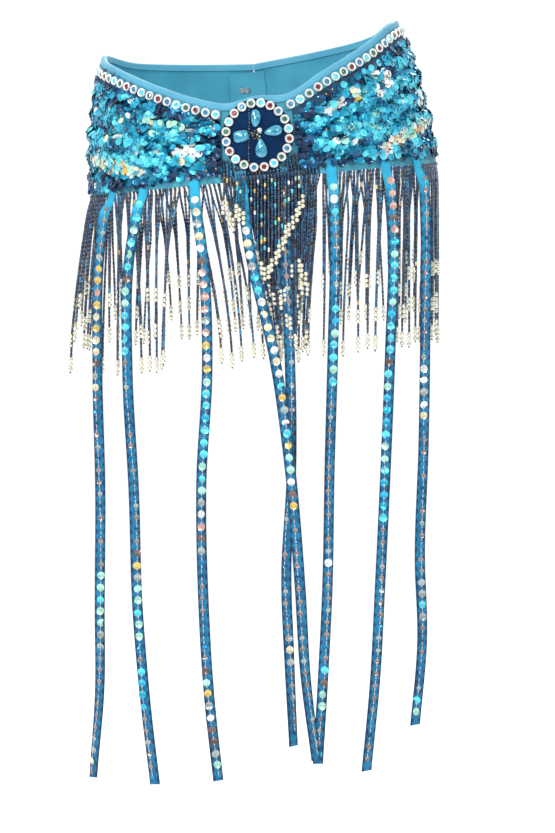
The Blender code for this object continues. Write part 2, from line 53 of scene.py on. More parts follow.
TILT = math.radians(5.5)

# Layers from the inside out
GAP = 0.0003
BAND = 0.0020
CLOTH = 0.0015
DRAPE_CLOTH = 0.0018
RIBBON_CLOTH = 0.0012
FIRST = BAND + GAP
SECOND = FIRST + CLOTH + GAP
THIRD = SECOND + RIBBON_CLOTH + GAP
FOURTH = THIRD + CLOTH + GAP

# Rows on the belt
HEADING = 0.0100        # heading tape of the fringe, along the hem
BINDING_LEG = 0.0046
BINDING_ROUND = 0.0162  # the binding's own width, from edge to edge over the top
STITCH_PITCH = 0.0032
STITCH_INSET = 0.0012   # the stitches' line above the binding's lower edge
STONE_TAPE = 0.0090
CENTRE_BACK_GAP = 0.0005
TopPoint = namedtuple("TopPoint", "degrees height")
TOP_EDGE = [TopPoint(*row) for row in (
    (-180, 0.118), (-130, 0.128), (-90, 0.1360), (-76, 0.1285), (-64, 0.1215), (-52, 0.1120),
    (-35, 0.0955), (-21, 0.0815), (-11, 0.0740), (0, 0.0785), (10, 0.0775), (25, 0.0960),
    (47, 0.1190), (66, 0.1370), (90, 0.1440), (130, 0.130), (180, 0.118),
)]

# Draped sequin cloth. The keys of the tables are the sides, -1 for left and 1 for right.
DRAPE_START = {-1: 0.0385, 1: 0.0362}
DRAPE_EASE = 0.0005     # the drape lies this much looser than a flat layer
FAN = 0.170             # the folds have spread out this far from the medallion
FAN_POWER = 1.6
GATHER = 0.030          # the folds rise over this length
PINNED = 0.05           # share of the drape's height that is sewn flat at each edge
Fold = namedtuple("Fold", "near far rise width")
FOLDS = {
    -1: (
        Fold(0.06, 0.07, 0.0022, 0.050), Fold(0.24, 0.27, 0.0056, 0.075), Fold(0.41, 0.46, 0.0068, 0.075),
        Fold(0.60, 0.65, 0.0048, 0.070), Fold(0.76, 0.80, 0.0038, 0.060), Fold(0.91, 0.93, 0.0022, 0.045),
    ),
    1: (
        Fold(0.07, 0.09, 0.0030, 0.055), Fold(0.22, 0.30, 0.0056, 0.075), Fold(0.42, 0.48, 0.0048, 0.070),
        Fold(0.62, 0.66, 0.0060, 0.075), Fold(0.78, 0.82, 0.0036, 0.060), Fold(0.92, 0.94, 0.0020, 0.045),
    ),
}
PUCKER = 0.0007         # fine gathers between the folds
SEQUIN_STEP = 0.0048
SEQUIN_SIZES = (0.0032, 0.0043)
SEQUIN_LOW = 0.0028     # the lowest row reaches this far over the heading
SEQUIN_HIGH = 0.0046    # the highest row stays this far below the drape's edge
HEM_COVER = {-1: 0.0046, 1: 0.0006}    # how much further down the sequins reach towards the sides
CREST = 0.0052          # a fold this high counts as a full crest, whose sequins get the most painted light
GLINT_SHARE = 0.92      # of the sequins in a glint get a pale foil as a painted highlight
STRAY_GLINT_SHARE = 0.05      # and of those on a crest elsewhere, as stray painted glints
FLECKS = 420            # copper beads a side
FLECK_SIZE = (0.0007, 0.0007, 0.0013)

# Row of set stones
STONE_PITCH = 0.0104
STONES_START = 0.0340
STONES_A_SIDE = 40
STONES_TO_SIDE = 19
STONE_CUP = 0.0046
STONE_TALL = 0.0032
TAPE_THICK = 0.0020
ROW_SHIFT = {-1: 0.0028, 1: -0.0042}   # the row starts further out on the left and closer in on the right

# Medallion
MEDALLION_ARC = -0.0015
MEDALLION_HEIGHT = 0.0425
MEDALLION_RADIUS = 0.0352
RIM_RADIUS = 0.0312
RIM_STONES = 20
RIM_PHASE = 6.5         # degrees of the first stone's place
DISC_THICK = 0.0020
JEWEL_BACK = SECOND + DISC_THICK + GAP
Petal = namedtuple("Petal", "x y length width degrees taper square bend")
PETALS = (
    Petal(-0.0004, 0.0166, 0.0174, 0.0108, 84, 0.15, 0.0, 0.04),
    Petal(0.0158, 0.0027, 0.0182, 0.0112, 7, 0.28, 0.0, 0.0),
    Petal(0.0023, -0.0125, 0.0188, 0.0130, 269, 0.40, 0.0, 0.0),
    Petal(-0.0163, 0.0006, 0.0152, 0.0120, 187, 0.05, 0.4, 0.0),
)
PETAL_RISE = 0.0034
PETAL_BACK = 0.0006
CLEAR_STONE = (0.0026, 0.0046)
KNOT_BEADS = 12

# Beaded fringe
CENTRE_FRINGE_END = 0.055
FRINGE_DEPTH = 0.180
BEAD_WIDTH = 0.0026
BEAD_LONG = 0.0040
BALL = 0.0047           # silver balls at the strands' ends
END_BEAD = 0.0009       # half the size of the dark bead under them
BUNDLE = 0.0160         # strands cling together in bundles of this width at the hem
BUNDLE_PULL = 0.60
BUNDLE_DROP = 0.055
TIERS = (0.116, 0.178, 0.150)
BACK_TIERS = (0.105, 0.160, 0.135)
Clump = namedtuple("Clump", "start end low_start low_end lean")
CLUMPS = [Clump(*row) for row in (
    (-0.466, -0.400, -0.458, -0.424, 0.000), (-0.400, -0.340, -0.390, -0.358, 0.000),
    (-0.340, -0.280, -0.325, -0.293, 0.002), (-0.280, -0.2316, -0.262, -0.236, 0.012),
    (-0.2316, -0.200, -0.228, -0.208, 0.022), (-0.200, -0.172, -0.198, -0.184, 0.002),
    (-0.172, -0.137, -0.170, -0.142, 0.002), (-0.137, -0.078, -0.123, -0.094, 0.001),
    (-0.078, -0.040, -0.040, -0.019, 0.000), (-0.040, 0.055, -0.006, 0.040, 0.000),
    (0.055, 0.085, 0.056, 0.075, 0.000), (0.085, 0.125, 0.090, 0.115, 0.000),
    (0.125, 0.150, 0.130, 0.144, 0.001), (0.150, 0.185, 0.152, 0.171, 0.002),
    (0.185, 0.2316, 0.188, 0.214, 0.002), (0.2316, 0.280, 0.236, 0.262, 0.002),
    (0.280, 0.340, 0.293, 0.325, 0.000), (0.340, 0.400, 0.358, 0.390, 0.000),
    (0.400, 0.466, 0.424, 0.458, 0.000),
)]
# Arcs of the dense strands behind the short fringe, at the hem and at their ends
MASS_TOP = (-0.022, 0.052)
MASS_LOW = (0.010, 0.041)
MASS_PITCH = 0.0026
POINT_HALF = 0.0400
POINT_PITCH = 0.0032
POINT_START = -0.0042   # drop at which its strands start on their tape
POINT_HEADING = 0.0047
POINT_ARC = 0.0030
POINT_LENGTH = 0.101
POINT_SIDE_LENGTH = 0.026
POINT_STAND = 0.0055
POINT_SWING = 0.050
ROOT_CLEAR = 0.0012     # strands over a ribbon's root stand this far off it
ROOT_SHARE = 0.66       # and have this share of their neighbours' length

# Ribbons
RIBBON_WIDTH = 0.0100
RIBBON_OVERLAP = 0.0095
RIBBON_FLAT = 0.0020
RIBBON_OUT = 0.0100
SIDE_RIBBON_OUT = 0.0120
FRONT_RIBBON_OUT = 0.0155
BACK_RIBBON_OUT = 0.0062
RIBBON_SWING = 0.020
RIBBON_SHARES = (0, 0.12, 0.30, 0.50, 0.70, 0.85, 1.0)
RIBBON_HALF_TURNS = 1.5
RIBBON_FACING = 0.75
TRIM_STEP = 0.0118      # from sequin to sequin on a ribbon
TRIM_START = 0.014      # drop of the first sequin
COVERED_START = 0.048   # the same where strands hang over the ribbon's root
DULL_SIZE = 0.66        # the clear sequins between the bright stretches are smaller
Ribbon = namedtuple("Ribbon", "arc length drifts turn level out")
RIBBONS = (
    Ribbon(-0.162, 0.586, (-0.013, -0.016, -0.012, -0.014, -0.015, -0.029), -16, SECOND, SIDE_RIBBON_OUT),
    Ribbon(-0.121, 0.587, (-0.014, -0.016, -0.009, -0.005, 0.003, 0.014), -20, SECOND, RIBBON_OUT),
    Ribbon(-0.067, 0.585, (0.010, 0.014, 0.008, 0.010, 0.015, 0.024), 20, SECOND, RIBBON_OUT),
    Ribbon(-0.021, 0.573, (0.009, 0.031, 0.046, 0.055, 0.060, 0.070), 25, FOURTH, FRONT_RIBBON_OUT),
    Ribbon(0.021, 0.558, (0.000, 0.004, 0.006, 0.001, 0.004, 0.008), 35, SECOND, BACK_RIBBON_OUT),
    Ribbon(0.066, 0.578, (0.002, 0.000, -0.003, -0.005, -0.009, -0.014), -20, SECOND, RIBBON_OUT),
    Ribbon(0.124, 0.593, (0.005, 0.002, -0.003, -0.009, -0.014, -0.023), 22, SECOND, RIBBON_OUT),
    Ribbon(0.166, 0.558, (0.004, 0.004, 0.002, -0.003, 0.001, -0.009), 16, SECOND, SIDE_RIBBON_OUT),
)

# Painted highlights: stretches of the ribbons whose sequins get bright foils for the light they catch, from
# one drop to another, with their foils
Stretch = namedtuple("Stretch", "ribbon start end foils")
STRETCHES = [Stretch(*row) for row in (
    (1, 0.060, 0.200, "warm"), (1, 0.375, 0.460, "mixed"), (1, 0.550, 0.570, "pale"),
    (2, 0.000, 0.080, "cool"), (2, 0.080, 0.100, "warm"), (2, 0.095, 0.165, "cool"),
    (2, 0.355, 0.385, "warm"), (2, 0.385, 0.440, "cool"), (2, 0.470, 0.510, "cool"),
    (3, 0.000, 0.050, "pale"), (3, 0.050, 0.190, "warm"), (3, 0.190, 0.305, "cool"),
    (3, 0.305, 0.365, "warm"), (3, 0.470, 0.500, "mixed"), (3, 0.500, 0.570, "mixed"),
    (4, 0.035, 0.085, "pale"), (4, 0.085, 0.115, "cool"), (4, 0.115, 0.200, "pale"),
    (4, 0.200, 0.330, "mixed"), (5, 0.440, 0.480, "pale"), (6, 0.000, 0.045, "mixed"),
    (6, 0.130, 0.205, "cool"), (6, 0.370, 0.390, "warm"), (6, 0.485, 0.530, "mixed"),
    (6, 0.560, 0.580, "mixed"), (7, 0.000, 0.070, "warm"), (7, 0.070, 0.170, "cool"),
    (7, 0.170, 0.220, "mixed"), (7, 0.220, 0.345, "cool"), (8, 0.195, 0.250, "pale"),
    (8, 0.405, 0.460, "mixed"), (8, 0.530, 0.556, "cool"),
)]

# Centre back closure
UNDERLAP = 0.0300
UNDERLAP_SEWN = 0.0120
UNDERLAP_THICK = 0.0015
UNDERLAP_LOW = 0.004    # its lower edge above the hem
UNDERLAP_CLEAR = 0.002  # room left under the binding
HOOKS = 3
HOOK_SIZE = (0.014, 0.006, 0.0012)
HOOK_INSET = 0.006      # past centre back


def hex_colour(code):
    """Linear colour of a display colour: each channel by the usual curve of power 2.4."""
    channels = np.array([int(code[k:k + 2], 16) for k in (0, 2, 4)]) / 255.0
    linear = np.where(channels <= 0.04045, channels / 12.92, ((channels + 0.055) / 1.055) ** 2.4)
    return (*linear.tolist(), 1.0)


# Sequins, beads and stones by the look of their foil
NAVY = hex_colour("0A2C50")
DEEP = hex_colour("0E5684")
TEAL = hex_colour("1687B0")
CYAN = hex_colour("2AB8DE")
AQUA = hex_colour("5CE4FA")
MINT = hex_colour("B4F5DC")
WHITE = hex_colour("F6FBFA")
CREAM = hex_colour("F7EDC6")
GOLD = hex_colour("E9C76A")
COPPER = hex_colour("73605A")
ROSE = hex_colour("E2B5A8")
BROWN = hex_colour("4C4038")
BLACK = hex_colour("10141C")
OLIVE = hex_colour("6E7A4A")
SMOKE = hex_colour("A9B4B2")
TAUPE = hex_colour("9A8F8A")
INK = hex_colour("11365C")
PETROL = hex_colour("1A6288")
CLEAR_BLUE = hex_colour("1F86B2")
RED = hex_colour("76060B")
GREEN = hex_colour("1D6B4E")
BLUE = hex_colour("2F86B0")

# Sequins of the drape from valley to crest, painted shade in the valleys up to painted light on the crests,
# and the scores at which one gives way to the next
DRAPE_SHADE_TONES = (NAVY, DEEP, TEAL, CYAN, AQUA)
TONE_STEPS = (0.12, 0.27, 0.43, 0.66)

# Foils of the ribbons' sequins with their weights; all but dull are painted-highlight tints for the bright
# stretches
RIBBON_FOILS = {
    "dull": ((TAUPE, SMOKE, CLEAR_BLUE, PETROL), (6, 2, 2, 2)),
    "cool": ((AQUA, CYAN, MINT), (6, 2, 4)),
    "warm": ((GOLD, COPPER, CREAM, ROSE, SMOKE, WHITE), (3, 2, 3, 2, 2, 2)),
    "pale": ((CREAM, WHITE, SMOKE), (4, 4, 1)),
    "mixed": ((AQUA, MINT, GOLD, WHITE, SMOKE, COPPER), (4, 4, 2, 2, 2, 1)),
}

# Painted highlights: places where the drape's sequins get pale foils in place of caught light, with those
# foils
Glint = namedtuple("Glint", "arc height half_length half_height slope tints")
GLINTS = (
    Glint(-0.158, 0.0270, 0.044, 0.0075, -0.215, (MINT, WHITE, CREAM, WHITE, WHITE, GOLD, MINT, AQUA)),
    Glint(-0.070, 0.0335, 0.016, 0.0045, -0.05, (WHITE, WHITE, AQUA)),
    Glint(-0.112, 0.0680, 0.008, 0.0045, 0.00, (GOLD, CREAM, MINT)),
    Glint(-0.078, 0.0570, 0.013, 0.0050, -0.28, (MINT, AQUA, WHITE)),
    Glint(-0.1514, 0.0550, 0.004, 0.0040, 0.00, (WHITE,)),
    Glint(-0.1056, 0.0360, 0.003, 0.0035, 0.00, (WHITE,)),
    Glint(0.080, 0.0635, 0.012, 0.0060, 0.40, (GOLD, AQUA, WHITE, CREAM, WHITE)),
    Glint(0.104, 0.0730, 0.005, 0.0075, 0.60, (MINT, GOLD, CREAM)),
    Glint(0.134, 0.1000, 0.007, 0.0090, 0.30, (WHITE, AQUA, WHITE)),
    Glint(0.146, 0.0870, 0.006, 0.0070, 0.10, (WHITE,)),
    Glint(0.131, 0.0770, 0.003, 0.0035, 0.00, (WHITE,)),
    Glint(0.1966, 0.0615, 0.004, 0.0040, 0.00, (WHITE,)),
    Glint(0.160, 0.0310, 0.044, 0.0070, 0.285, (WHITE, GOLD, CREAM, MINT, ROSE, WHITE, MINT, WHITE)),
    Glint(0.103, 0.0410, 0.028, 0.0060, 0.05, (AQUA, MINT, AQUA, CYAN)),
    Glint(0.126, 0.0125, 0.024, 0.0030, 0.00, (AQUA, WHITE, CYAN)),
    Glint(-0.300, 0.0500, 0.045, 0.0070, 0.10, (MINT, WHITE, CREAM, GOLD)),
    Glint(-0.400, 0.0800, 0.030, 0.0060, -0.05, (AQUA, WHITE, MINT)),
    Glint(0.290, 0.0900, 0.030, 0.0060, -0.10, (WHITE, ROSE, GOLD, CREAM)),
    Glint(0.380, 0.0450, 0.045, 0.0070, 0.00, (AQUA, MINT, WHITE)),
)


def hem_run():
    """Angles round the hem, a little past centre back on both sides, and their arcs from centre front."""
    angle = np.linspace(-1.2 * math.pi, 1.2 * math.pi, 3457)
    x, y = HEM_HALF_WIDTH * np.sin(angle), HEM_HALF_DEPTH * np.cos(angle)
    run = np.concatenate([[0.0], np.cumsum(np.hypot(np.diff(x), np.diff(y)))])
    return angle, run - run[len(run) // 2]


HEM_ANGLE, HEM_ARC = hem_run()
HALF_GIRTH = float(np.interp(math.pi, HEM_ANGLE, HEM_ARC))
BACK_END = HALF_GIRTH - CENTRE_BACK_GAP
QUARTER = STONES_START + STONE_PITCH * STONES_TO_SIDE
SEAM = 0.5 * GAP


def place(arc, height, out):
    """Points on the worn belt for points of the flat pattern, as whole arrays.

    The arc gives an angle on the hem's ellipse, the height narrows the ellipse and the distance out follows
    its normal. The ring is then turned by the tilt, and what lies below the hem drops straight down.
    """
    angle = np.interp(arc, HEM_ARC, HEM_ANGLE)
    rise, drop = np.maximum(height, 0.0), np.minimum(height, 0.0)
    half_width = HEM_HALF_WIDTH - WIDTH_FLARE * rise
    half_depth = HEM_HALF_DEPTH - DEPTH_FLARE * rise
    normal_x, normal_y = np.sin(angle) / half_width, -np.cos(angle) / half_depth
    size = np.hypot(normal_x, normal_y)
    x = half_width * np.sin(angle) + out * normal_x / size
    y = -half_depth * np.cos(angle) + out * normal_y / size
    z = HEM_LEVEL + rise
    tilted_x = x * math.cos(TILT) - z * math.sin(TILT)
    tilted_z = x * math.sin(TILT) + z * math.cos(TILT)
    return np.stack([tilted_x, y, tilted_z + drop], axis=-1)


def smooth(x, xs, ys):
    """Smooth curve through the points (xs, ys), each point's slope taken from its neighbours."""
    xs, ys = np.asarray(xs, float), np.asarray(ys, float)
    slope = np.gradient(ys, xs)
    left = np.clip(np.searchsorted(xs, x) - 1, 0, len(xs) - 2)
    width = xs[left + 1] - xs[left]
    t = np.clip((x - xs[left]) / width, 0.0, 1.0)
    return (
        (1 + 2 * t) * (1 - t) ** 2 * ys[left] + t * t * (3 - 2 * t) * ys[left + 1]
        + width * t * (1 - t) * ((1 - t) * slope[left] - t * slope[left + 1])
    )


def top_height(arc):
    """Height of the belt's top edge above the hem: the smooth curve through TOP_EDGE."""
    around = (arc + HALF_GIRTH) % (2 * HALF_GIRTH) - HALF_GIRTH
    degrees = np.degrees(np.interp(around, HEM_ARC, HEM_ANGLE))
    return smooth(degrees, [p.degrees for p in TOP_EDGE], [p.height for p in TOP_EDGE])


def ease(share):
    """Goes from 0 to 1, fast at first and slow at the end: 1 - (1 - share) to the fan's power."""
    return 1.0 - (1.0 - np.clip(share, 0.0, 1.0)) ** FAN_POWER


def soft_step(share):
    """Goes from 0 to 1 with a slow start and end: 3 t squared - 2 t cubed."""
    t = np.clip(share, 0.0, 1.0)
    return t * t * (3.0 - 2.0 * t)


def unit(vectors):
    """Each vector over its own length."""
    return vectors / np.linalg.norm(vectors, axis=-1, keepdims=True)


def between(rng, low, high, count):
    """Evenly spread random values."""
    return low + (high - low) * rng.random(count)


def pick(rng, tints, weights, count):
    """Random colours from a short list, by weight."""
    share = np.asarray(weights, float)
    return np.asarray(tints)[rng.choice(len(tints), size=count, p=share / share.sum())]


# Meshes
Template = namedtuple("Template", "points corners sizes")


def add_piece(name, points, corners, sizes, look, slot, sharp=None, tint=None, cut=None):
    """Makes an object from whole arrays: points, the corners of all faces and each face's corner count."""
    mesh = bpy.data.meshes.new(name)
    mesh.vertices.add(len(points))
    mesh.vertices.foreach_set("co", np.asarray(points, np.float32).ravel())
    mesh.loops.add(len(corners))
    mesh.loops.foreach_set("vertex_index", np.asarray(corners, np.int32))
    mesh.polygons.add(len(sizes))
    starts = np.concatenate([[0], np.cumsum(sizes)[:-1]])
    mesh.polygons.foreach_set("loop_start", starts.astype(np.int32))
    mesh.update(calc_edges=True)
    if tint is not None:
        layer = mesh.attributes.new("tint", "FLOAT_COLOR", "POINT")
        layer.data.foreach_set("color", np.asarray(tint, np.float32).ravel())
    if cut is not None:
        layer = mesh.uv_layers.new(name="cut")
        layer.data.foreach_set("uv", np.asarray(cut, np.float32)[corners].ravel())
    mesh.shade_smooth()
    if sharp is not None:
        mesh.set_sharp_from_angle(angle=math.radians(sharp))
    mesh.materials.append(look)
    made = bpy.data.objects.new(name, mesh)
    bpy.context.scene.collection.objects.link(made)
    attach(made, "root")
    return made


def quads(index):
    """Corners of a grid's faces, anticlockwise seen from its outer side."""
    return np.stack([index[:-1, :-1], index[1:, :-1], index[1:, 1:], index[:-1, 1:]], axis=-1).reshape(-1)


def cloth(name, across, up, inner, outer, look, slot, cut=None, sharp=40):
    """Closed wall of cloth: an inner and an outer skin on one grid, joined by a strip round the edge.

    inner and outer turn the grid's values across and up into arc, height and distance out.
    """
    grid = np.meshgrid(across, up, indexing="ij")
    shape = grid[0].shape
    flats = [np.broadcast_arrays(*skin(*grid)) for skin in (inner, outer)]
    points = np.concatenate([place(*flat).reshape(-1, 3) for flat in flats])
    low = np.arange(grid[0].size).reshape(shape)
    high = low + low.size
    ring = np.concatenate([low[:, 0], low[-1, 1:], low[-2::-1, -1], low[0, -2:0:-1]])
    after = np.roll(ring, -1)
    rim = np.stack([ring, after, after + low.size, ring + low.size], axis=-1).reshape(-1)
    corners = np.concatenate([quads(low).reshape(-1, 4)[:, ::-1].reshape(-1), quads(high), rim])
    chart = np.stack(flats[1][:2] if cut is None else cut(*grid), axis=-1).reshape(-1, 2)
    return add_piece(name, points, corners, np.full(len(corners) // 4, 4), look, slot, sharp,
                     cut=np.concatenate([chart, chart]))


def ringed(count, around):
    """Corners and corner counts of a closed shape of rings, with a flat cap on the first and last ring."""
    rings = np.arange(count * around).reshape(count, around)
    wrapped = np.concatenate([rings, rings[:, :1]], axis=1)
    walls = np.stack([wrapped[:-1, :-1], wrapped[:-1, 1:], wrapped[1:, 1:], wrapped[1:, :-1]], axis=-1)
    corners = np.concatenate([walls.reshape(-1), rings[0][::-1], rings[-1]])
    return corners, np.concatenate([np.full(walls.size // 4, 4), [around, around]])


def lathe(profile, sides):
    """Closed turned shape: a profile of radius and level carried round the z axis."""
    radius, level = np.asarray(profile, float).T
    angle = np.arange(sides) * 2 * math.pi / sides
    points = np.stack([
        radius[:, None] * np.cos(angle), radius[:, None] * np.sin(angle), np.repeat(level[:, None], sides, 1),
    ], axis=-1).reshape(-1, 3)
    return Template(points, *ringed(len(profile), sides))


def scatter(name, template, centre, axes, size, tint, look, slot, sharp=None):
    """Copies of a template in one mesh: each point is the centre plus its x, y and z times the size along
    the copy's own axes. One size or tint does for all the copies."""
    count = len(centre)
    scaled = template.points[None] * np.broadcast_to(size, (count, 3))[:, None, :]
    points = centre[:, None, :] + np.einsum("npk,nkj->npj", scaled, axes)
    step = np.arange(count)[:, None] * len(template.points)
    corners = (template.corners[None] + step).reshape(-1)
    sizes = np.tile(template.sizes, count)
    colours = np.repeat(np.broadcast_to(tint, (count, 4)), len(template.points), axis=0)
    return add_piece(name, points.reshape(-1, 3), corners, sizes, look, slot, sharp, tint=colours)


SEQUIN_SHAPE = lathe([(0.26, -0.06), (1.00, 0.16), (0.30, 0.00)], 10)
BEAD_SHAPE = lathe([(0.78, -1.0), (1.0, -0.80), (1.0, 0.80), (0.78, 1.0)], 5)
SEED_SHAPE = lathe([(0.45, -0.8), (1.0, -0.3), (1.0, 0.3), (0.45, 0.8)], 6)
BALL_SHAPE = lathe([(math.sin(t), -math.cos(t)) for t in np.linspace(0.35, math.pi - 0.35, 6)], 9)
CUP_SHAPE = lathe(
    [(0.86, 0.0), (0.97, 0.16), (1.0, 0.45), (0.95, 0.78), (0.84, 0.95), (0.72, 0.90), (0.58, 0.62)], 16)
STONE_SHAPE = lathe([(0.57, 0.45), (0.56, 0.66), (0.44, 0.92), (0.26, 1.05)], 8)
STITCH_SHAPE = lathe([(0.5, -1.0), (1.0, -0.6), (1.0, 0.6), (0.5, 1.0)], 5)


def on_surface(surface, arc, height):
    """Points of a surface and their own axes along, up and out, from steps of a fifth of a millimetre."""
    step = 0.0002
    along = surface(arc + step, height) - surface(arc - step, height)
    up = surface(arc, height + step) - surface(arc, height - step)
    out = unit(np.cross(along, up))
    along = unit(along)
    return surface(arc, height), np.stack([along, np.cross(out, along), out], axis=1)


def turned(axes, tip, lean, spin):
    """Axes turned by angles: tip about their first axis, lean about the second and spin about the third."""
    def about(k, angle):
        turn = np.zeros((len(angle), 3, 3))
        a, b = [(1, 2), (2, 0), (0, 1)][k]
        turn[:, k, k] = 1.0
        turn[:, a, a] = turn[:, b, b] = np.cos(angle)
        turn[:, a, b] = np.sin(angle)
        turn[:, b, a] = -np.sin(angle)
        return turn

    return about(2, spin) @ about(1, lean) @ about(0, tip) @ axes


def along_axes(direction):
    """Axes whose third one follows a direction."""
    third = unit(direction)
    first = unit(np.cross(np.broadcast_to((0.0, -1.0, 0.0), third.shape), third))
    return np.stack([first, np.cross(third, first), third], axis=1)


# Materials
class Look:
    """A material whose nodes are added one by one, with its values set on their sockets."""

    def __init__(self, name, **sockets):
        self.material = bpy.data.materials.new(name)
        self.material.use_nodes = True
        self.tree = self.material.node_tree
        self.shader = self.tree.nodes["Principled BSDF"]
        self.fill(self.shader, {key.replace("_", " "): value for key, value in sockets.items()})

    def fill(self, node, inputs):
        """Sets or links the inputs of a node. A text is a display colour."""
        for key, value in inputs.items():
            if isinstance(value, bpy.types.NodeSocket):
                self.tree.links.new(value, node.inputs[key])
            else:
                node.inputs[key].default_value = hex_colour(value) if isinstance(value, str) else value

    def add(self, kind, inputs=(), **settings):
        node = self.tree.nodes.new("ShaderNode" + kind)
        for key, value in settings.items():
            setattr(node, key, value)
        self.fill(node, dict(inputs))
        return node

    def noise(self, scale, detail=3.0, vector=None):
        """Noise from 0 to 1, on the object's own coordinates unless a vector is given."""
        vector = vector or self.add("TexCoord").outputs["Object"]
        return self.add("TexNoise", {"Vector": vector, "Scale": scale, "Detail": detail}).outputs["Fac"]

    def ranged(self, value, low, high, start=0.3, end=0.7):
        """A value between start and end stretched to between low and high."""
        inputs = {"Value": value, "From Min": start, "From Max": end, "To Min": low, "To Max": high}
        return self.add("MapRange", inputs).outputs["Result"]

    def maths(self, operation, first, second):
        return self.add("Math", {0: first, 1: second}, operation=operation).outputs[0]

    def mix(self, share, first, second):
        """Colour mixed from two by a share. Inputs 6 and 7 and output 2 are the node's colours."""
        return self.add("Mix", {0: share, 6: first, 7: second}, data_type="RGBA").outputs[2]

    def cut(self):
        """Place on the cut cloth in metres, along and across."""
        node = self.add("UVMap", uv_map="cut")
        return self.add("SeparateXYZ", {0: node.outputs["UV"]}).outputs

    def tint(self):
        return self.add("Attribute", attribute_name="tint").outputs["Color"]

    def surface(self, colour=None, rough=None, height=None, depth=0.0001):
        """Links colour and roughness, and a bump whose height is depth in metres."""
        if colour is not None:
            self.fill(self.shader, {"Base Color": colour})
        if rough is not None:
            self.fill(self.shader, {"Roughness": rough})
        if height is not None:
            bump = self.add("Bump", {"Height": height, "Distance": depth, "Strength": 1.0})
            self.fill(self.shader, {"Normal": bump.outputs["Normal"]})
        return self.material


KNIT = 0.0011           # rib of the stretch cloth


def wave(look, value, pitch):
    """Waves from 0 to 1 along a value, a pitch apart: half the sine of its share of a turn, plus a half."""
    angle = look.maths("MULTIPLY", value, 2 * math.pi / pitch)
    return look.maths("MULTIPLY", look.maths("ADD", look.maths("SINE", angle, 0.0), 1.0), 0.5)


def stretch_cloth(name, colour, dark, rough, **sockets):
    """Knitted stretch cloth: fine ribs both ways, with soft worn patches."""
    look = Look(name, **sockets)
    along, across = look.cut()[0:2]
    ribs = look.maths("MULTIPLY", wave(look, along, KNIT), wave(look, across, KNIT * 0.8))
    patches = look.noise(28.0)
    shade = look.mix(look.ranged(patches, 0.0, 0.55), colour, dark)
    shade = look.mix(look.maths("MULTIPLY", ribs, 0.25), shade, dark)
    return look.surface(shade, look.ranged(patches, rough - 0.06, rough + 0.06), ribs, 0.00012)


def net_cloth(name, colour, thread, rough, mesh=0.0021, blotch=90.0):
    """Net over cloth: threads that cross on the bias, with dark eyes between them and worn blotches."""
    look = Look(name)
    along, across = look.cut()[0:2]
    first = wave(look, look.maths("ADD", along, across), mesh)
    second = wave(look, look.maths("SUBTRACT", along, across), mesh)
    threads = look.maths("MAXIMUM", first, second)
    eyes = look.ranged(threads, 0.0, 1.0, 0.35, 0.85)
    worn = look.noise(blotch)
    shade = look.mix(eyes, colour, thread)
    shade = look.mix(look.ranged(worn, 0.0, 0.75), shade, colour)
    return look.surface(shade, look.ranged(worn, rough - 0.1, rough + 0.1), threads, 0.0003)


def foil(name, rough, metal, coat, grain=900.0, **sockets):
    """Coloured foil of sequins or beads: the piece's own tint, lightly scuffed and dimpled."""
    look = Look(name, Metallic=metal, Coat_Weight=coat, Coat_Roughness=0.06, **sockets)
    scuffs = look.noise(grain)
    shade = look.mix(look.ranged(scuffs, 0.0, 0.35), look.tint(), (0.0, 0.02, 0.05, 1.0))
    return look.surface(shade, look.ranged(scuffs, rough - 0.06, rough + 0.1), scuffs, 0.00015)


def ribbon_braid(name, bright):
    """Woven braid: a herringbone of two blues with navy scallops along both edges, and painted light near the
    hem.
    """
    look = Look(name, Sheen_Weight=0.05, Specular_IOR_Level=0.3)
    along, across = look.cut()[0:2]
    side = look.maths("ABSOLUTE", across, 0.0)
    bone = wave(look, look.maths("ADD", along, look.maths("MULTIPLY", side, 1.3)), 0.0030)
    scallop = look.maths("MULTIPLY", wave(look, along, 0.0095), 0.0018)
    edge = look.ranged(look.maths("ADD", side, scallop), 0.0, 1.0, 0.0036, 0.0050)
    depth = look.ranged(along, 0.0, 1.0, 0.0, 0.16)
    ground = look.mix(depth, "1FA6D2", "1280AE")
    # Painted light near the root, at the belt's hem, scaled by bright
    root = look.ranged(along, 1.0, 0.0, 0.014, 0.034)
    patches = look.noise(38.0, 2.0)
    ground = look.mix(look.ranged(patches, 0.0, 0.75, 0.45, 0.70), ground, "0F567F")
    shade = look.mix(look.maths("MULTIPLY", bone, 0.5), ground, "0B4D78")
    shade = look.mix(look.maths("MULTIPLY", edge, 0.92), shade, "0B2A4E")
    shade = look.mix(look.maths("MULTIPLY", root, bright), shade, "2CBDE6")
    return look.surface(shade, look.ranged(patches, 0.45, 0.65), bone, 0.0004)


def mottled(look, spots, colours, rough, bumps, depth=0.0002):
    """Finishes a look: two colours and two roughnesses mixed by the same spots, with fine bumps."""
    shade = look.mix(look.ranged(spots, 0.0, 1.0), *colours)
    return look.surface(shade, look.ranged(spots, *rough), bumps, depth)


def velvet():
    """Covered disc: navy velvet with a brushed nap."""
    look = Look("navy_velvet", Sheen_Weight=0.03, Sheen_Tint="2A4E90", Specular_IOR_Level=0.06)
    return mottled(look, look.noise(70.0), ("07203F", "0D2E54"), (0.65, 0.85), look.noise(1500.0))


def petal_glass():
    """Moulded turquoise glass, cloudy inside and with a foiled back."""
    look = Look("petal_glass", Metallic=0.15, Coat_Weight=1.0, Coat_Roughness=0.03)
    cloud = look.noise(260.0, 4.0)
    return mottled(look, cloud, ("1A7398", "4CA9C2"), (0.06, 0.2), cloud)


def cup_metal():
    """Silvered setting: bright, with cast pits and small scratches."""
    look = Look("silver_cups", Metallic=0.4, Coat_Weight=0.3, Coat_Roughness=0.1)
    pits = look.noise(1400.0)
    return mottled(look, pits, ("FBFAF8", "CFCBC7"), (0.22, 0.4), pits)


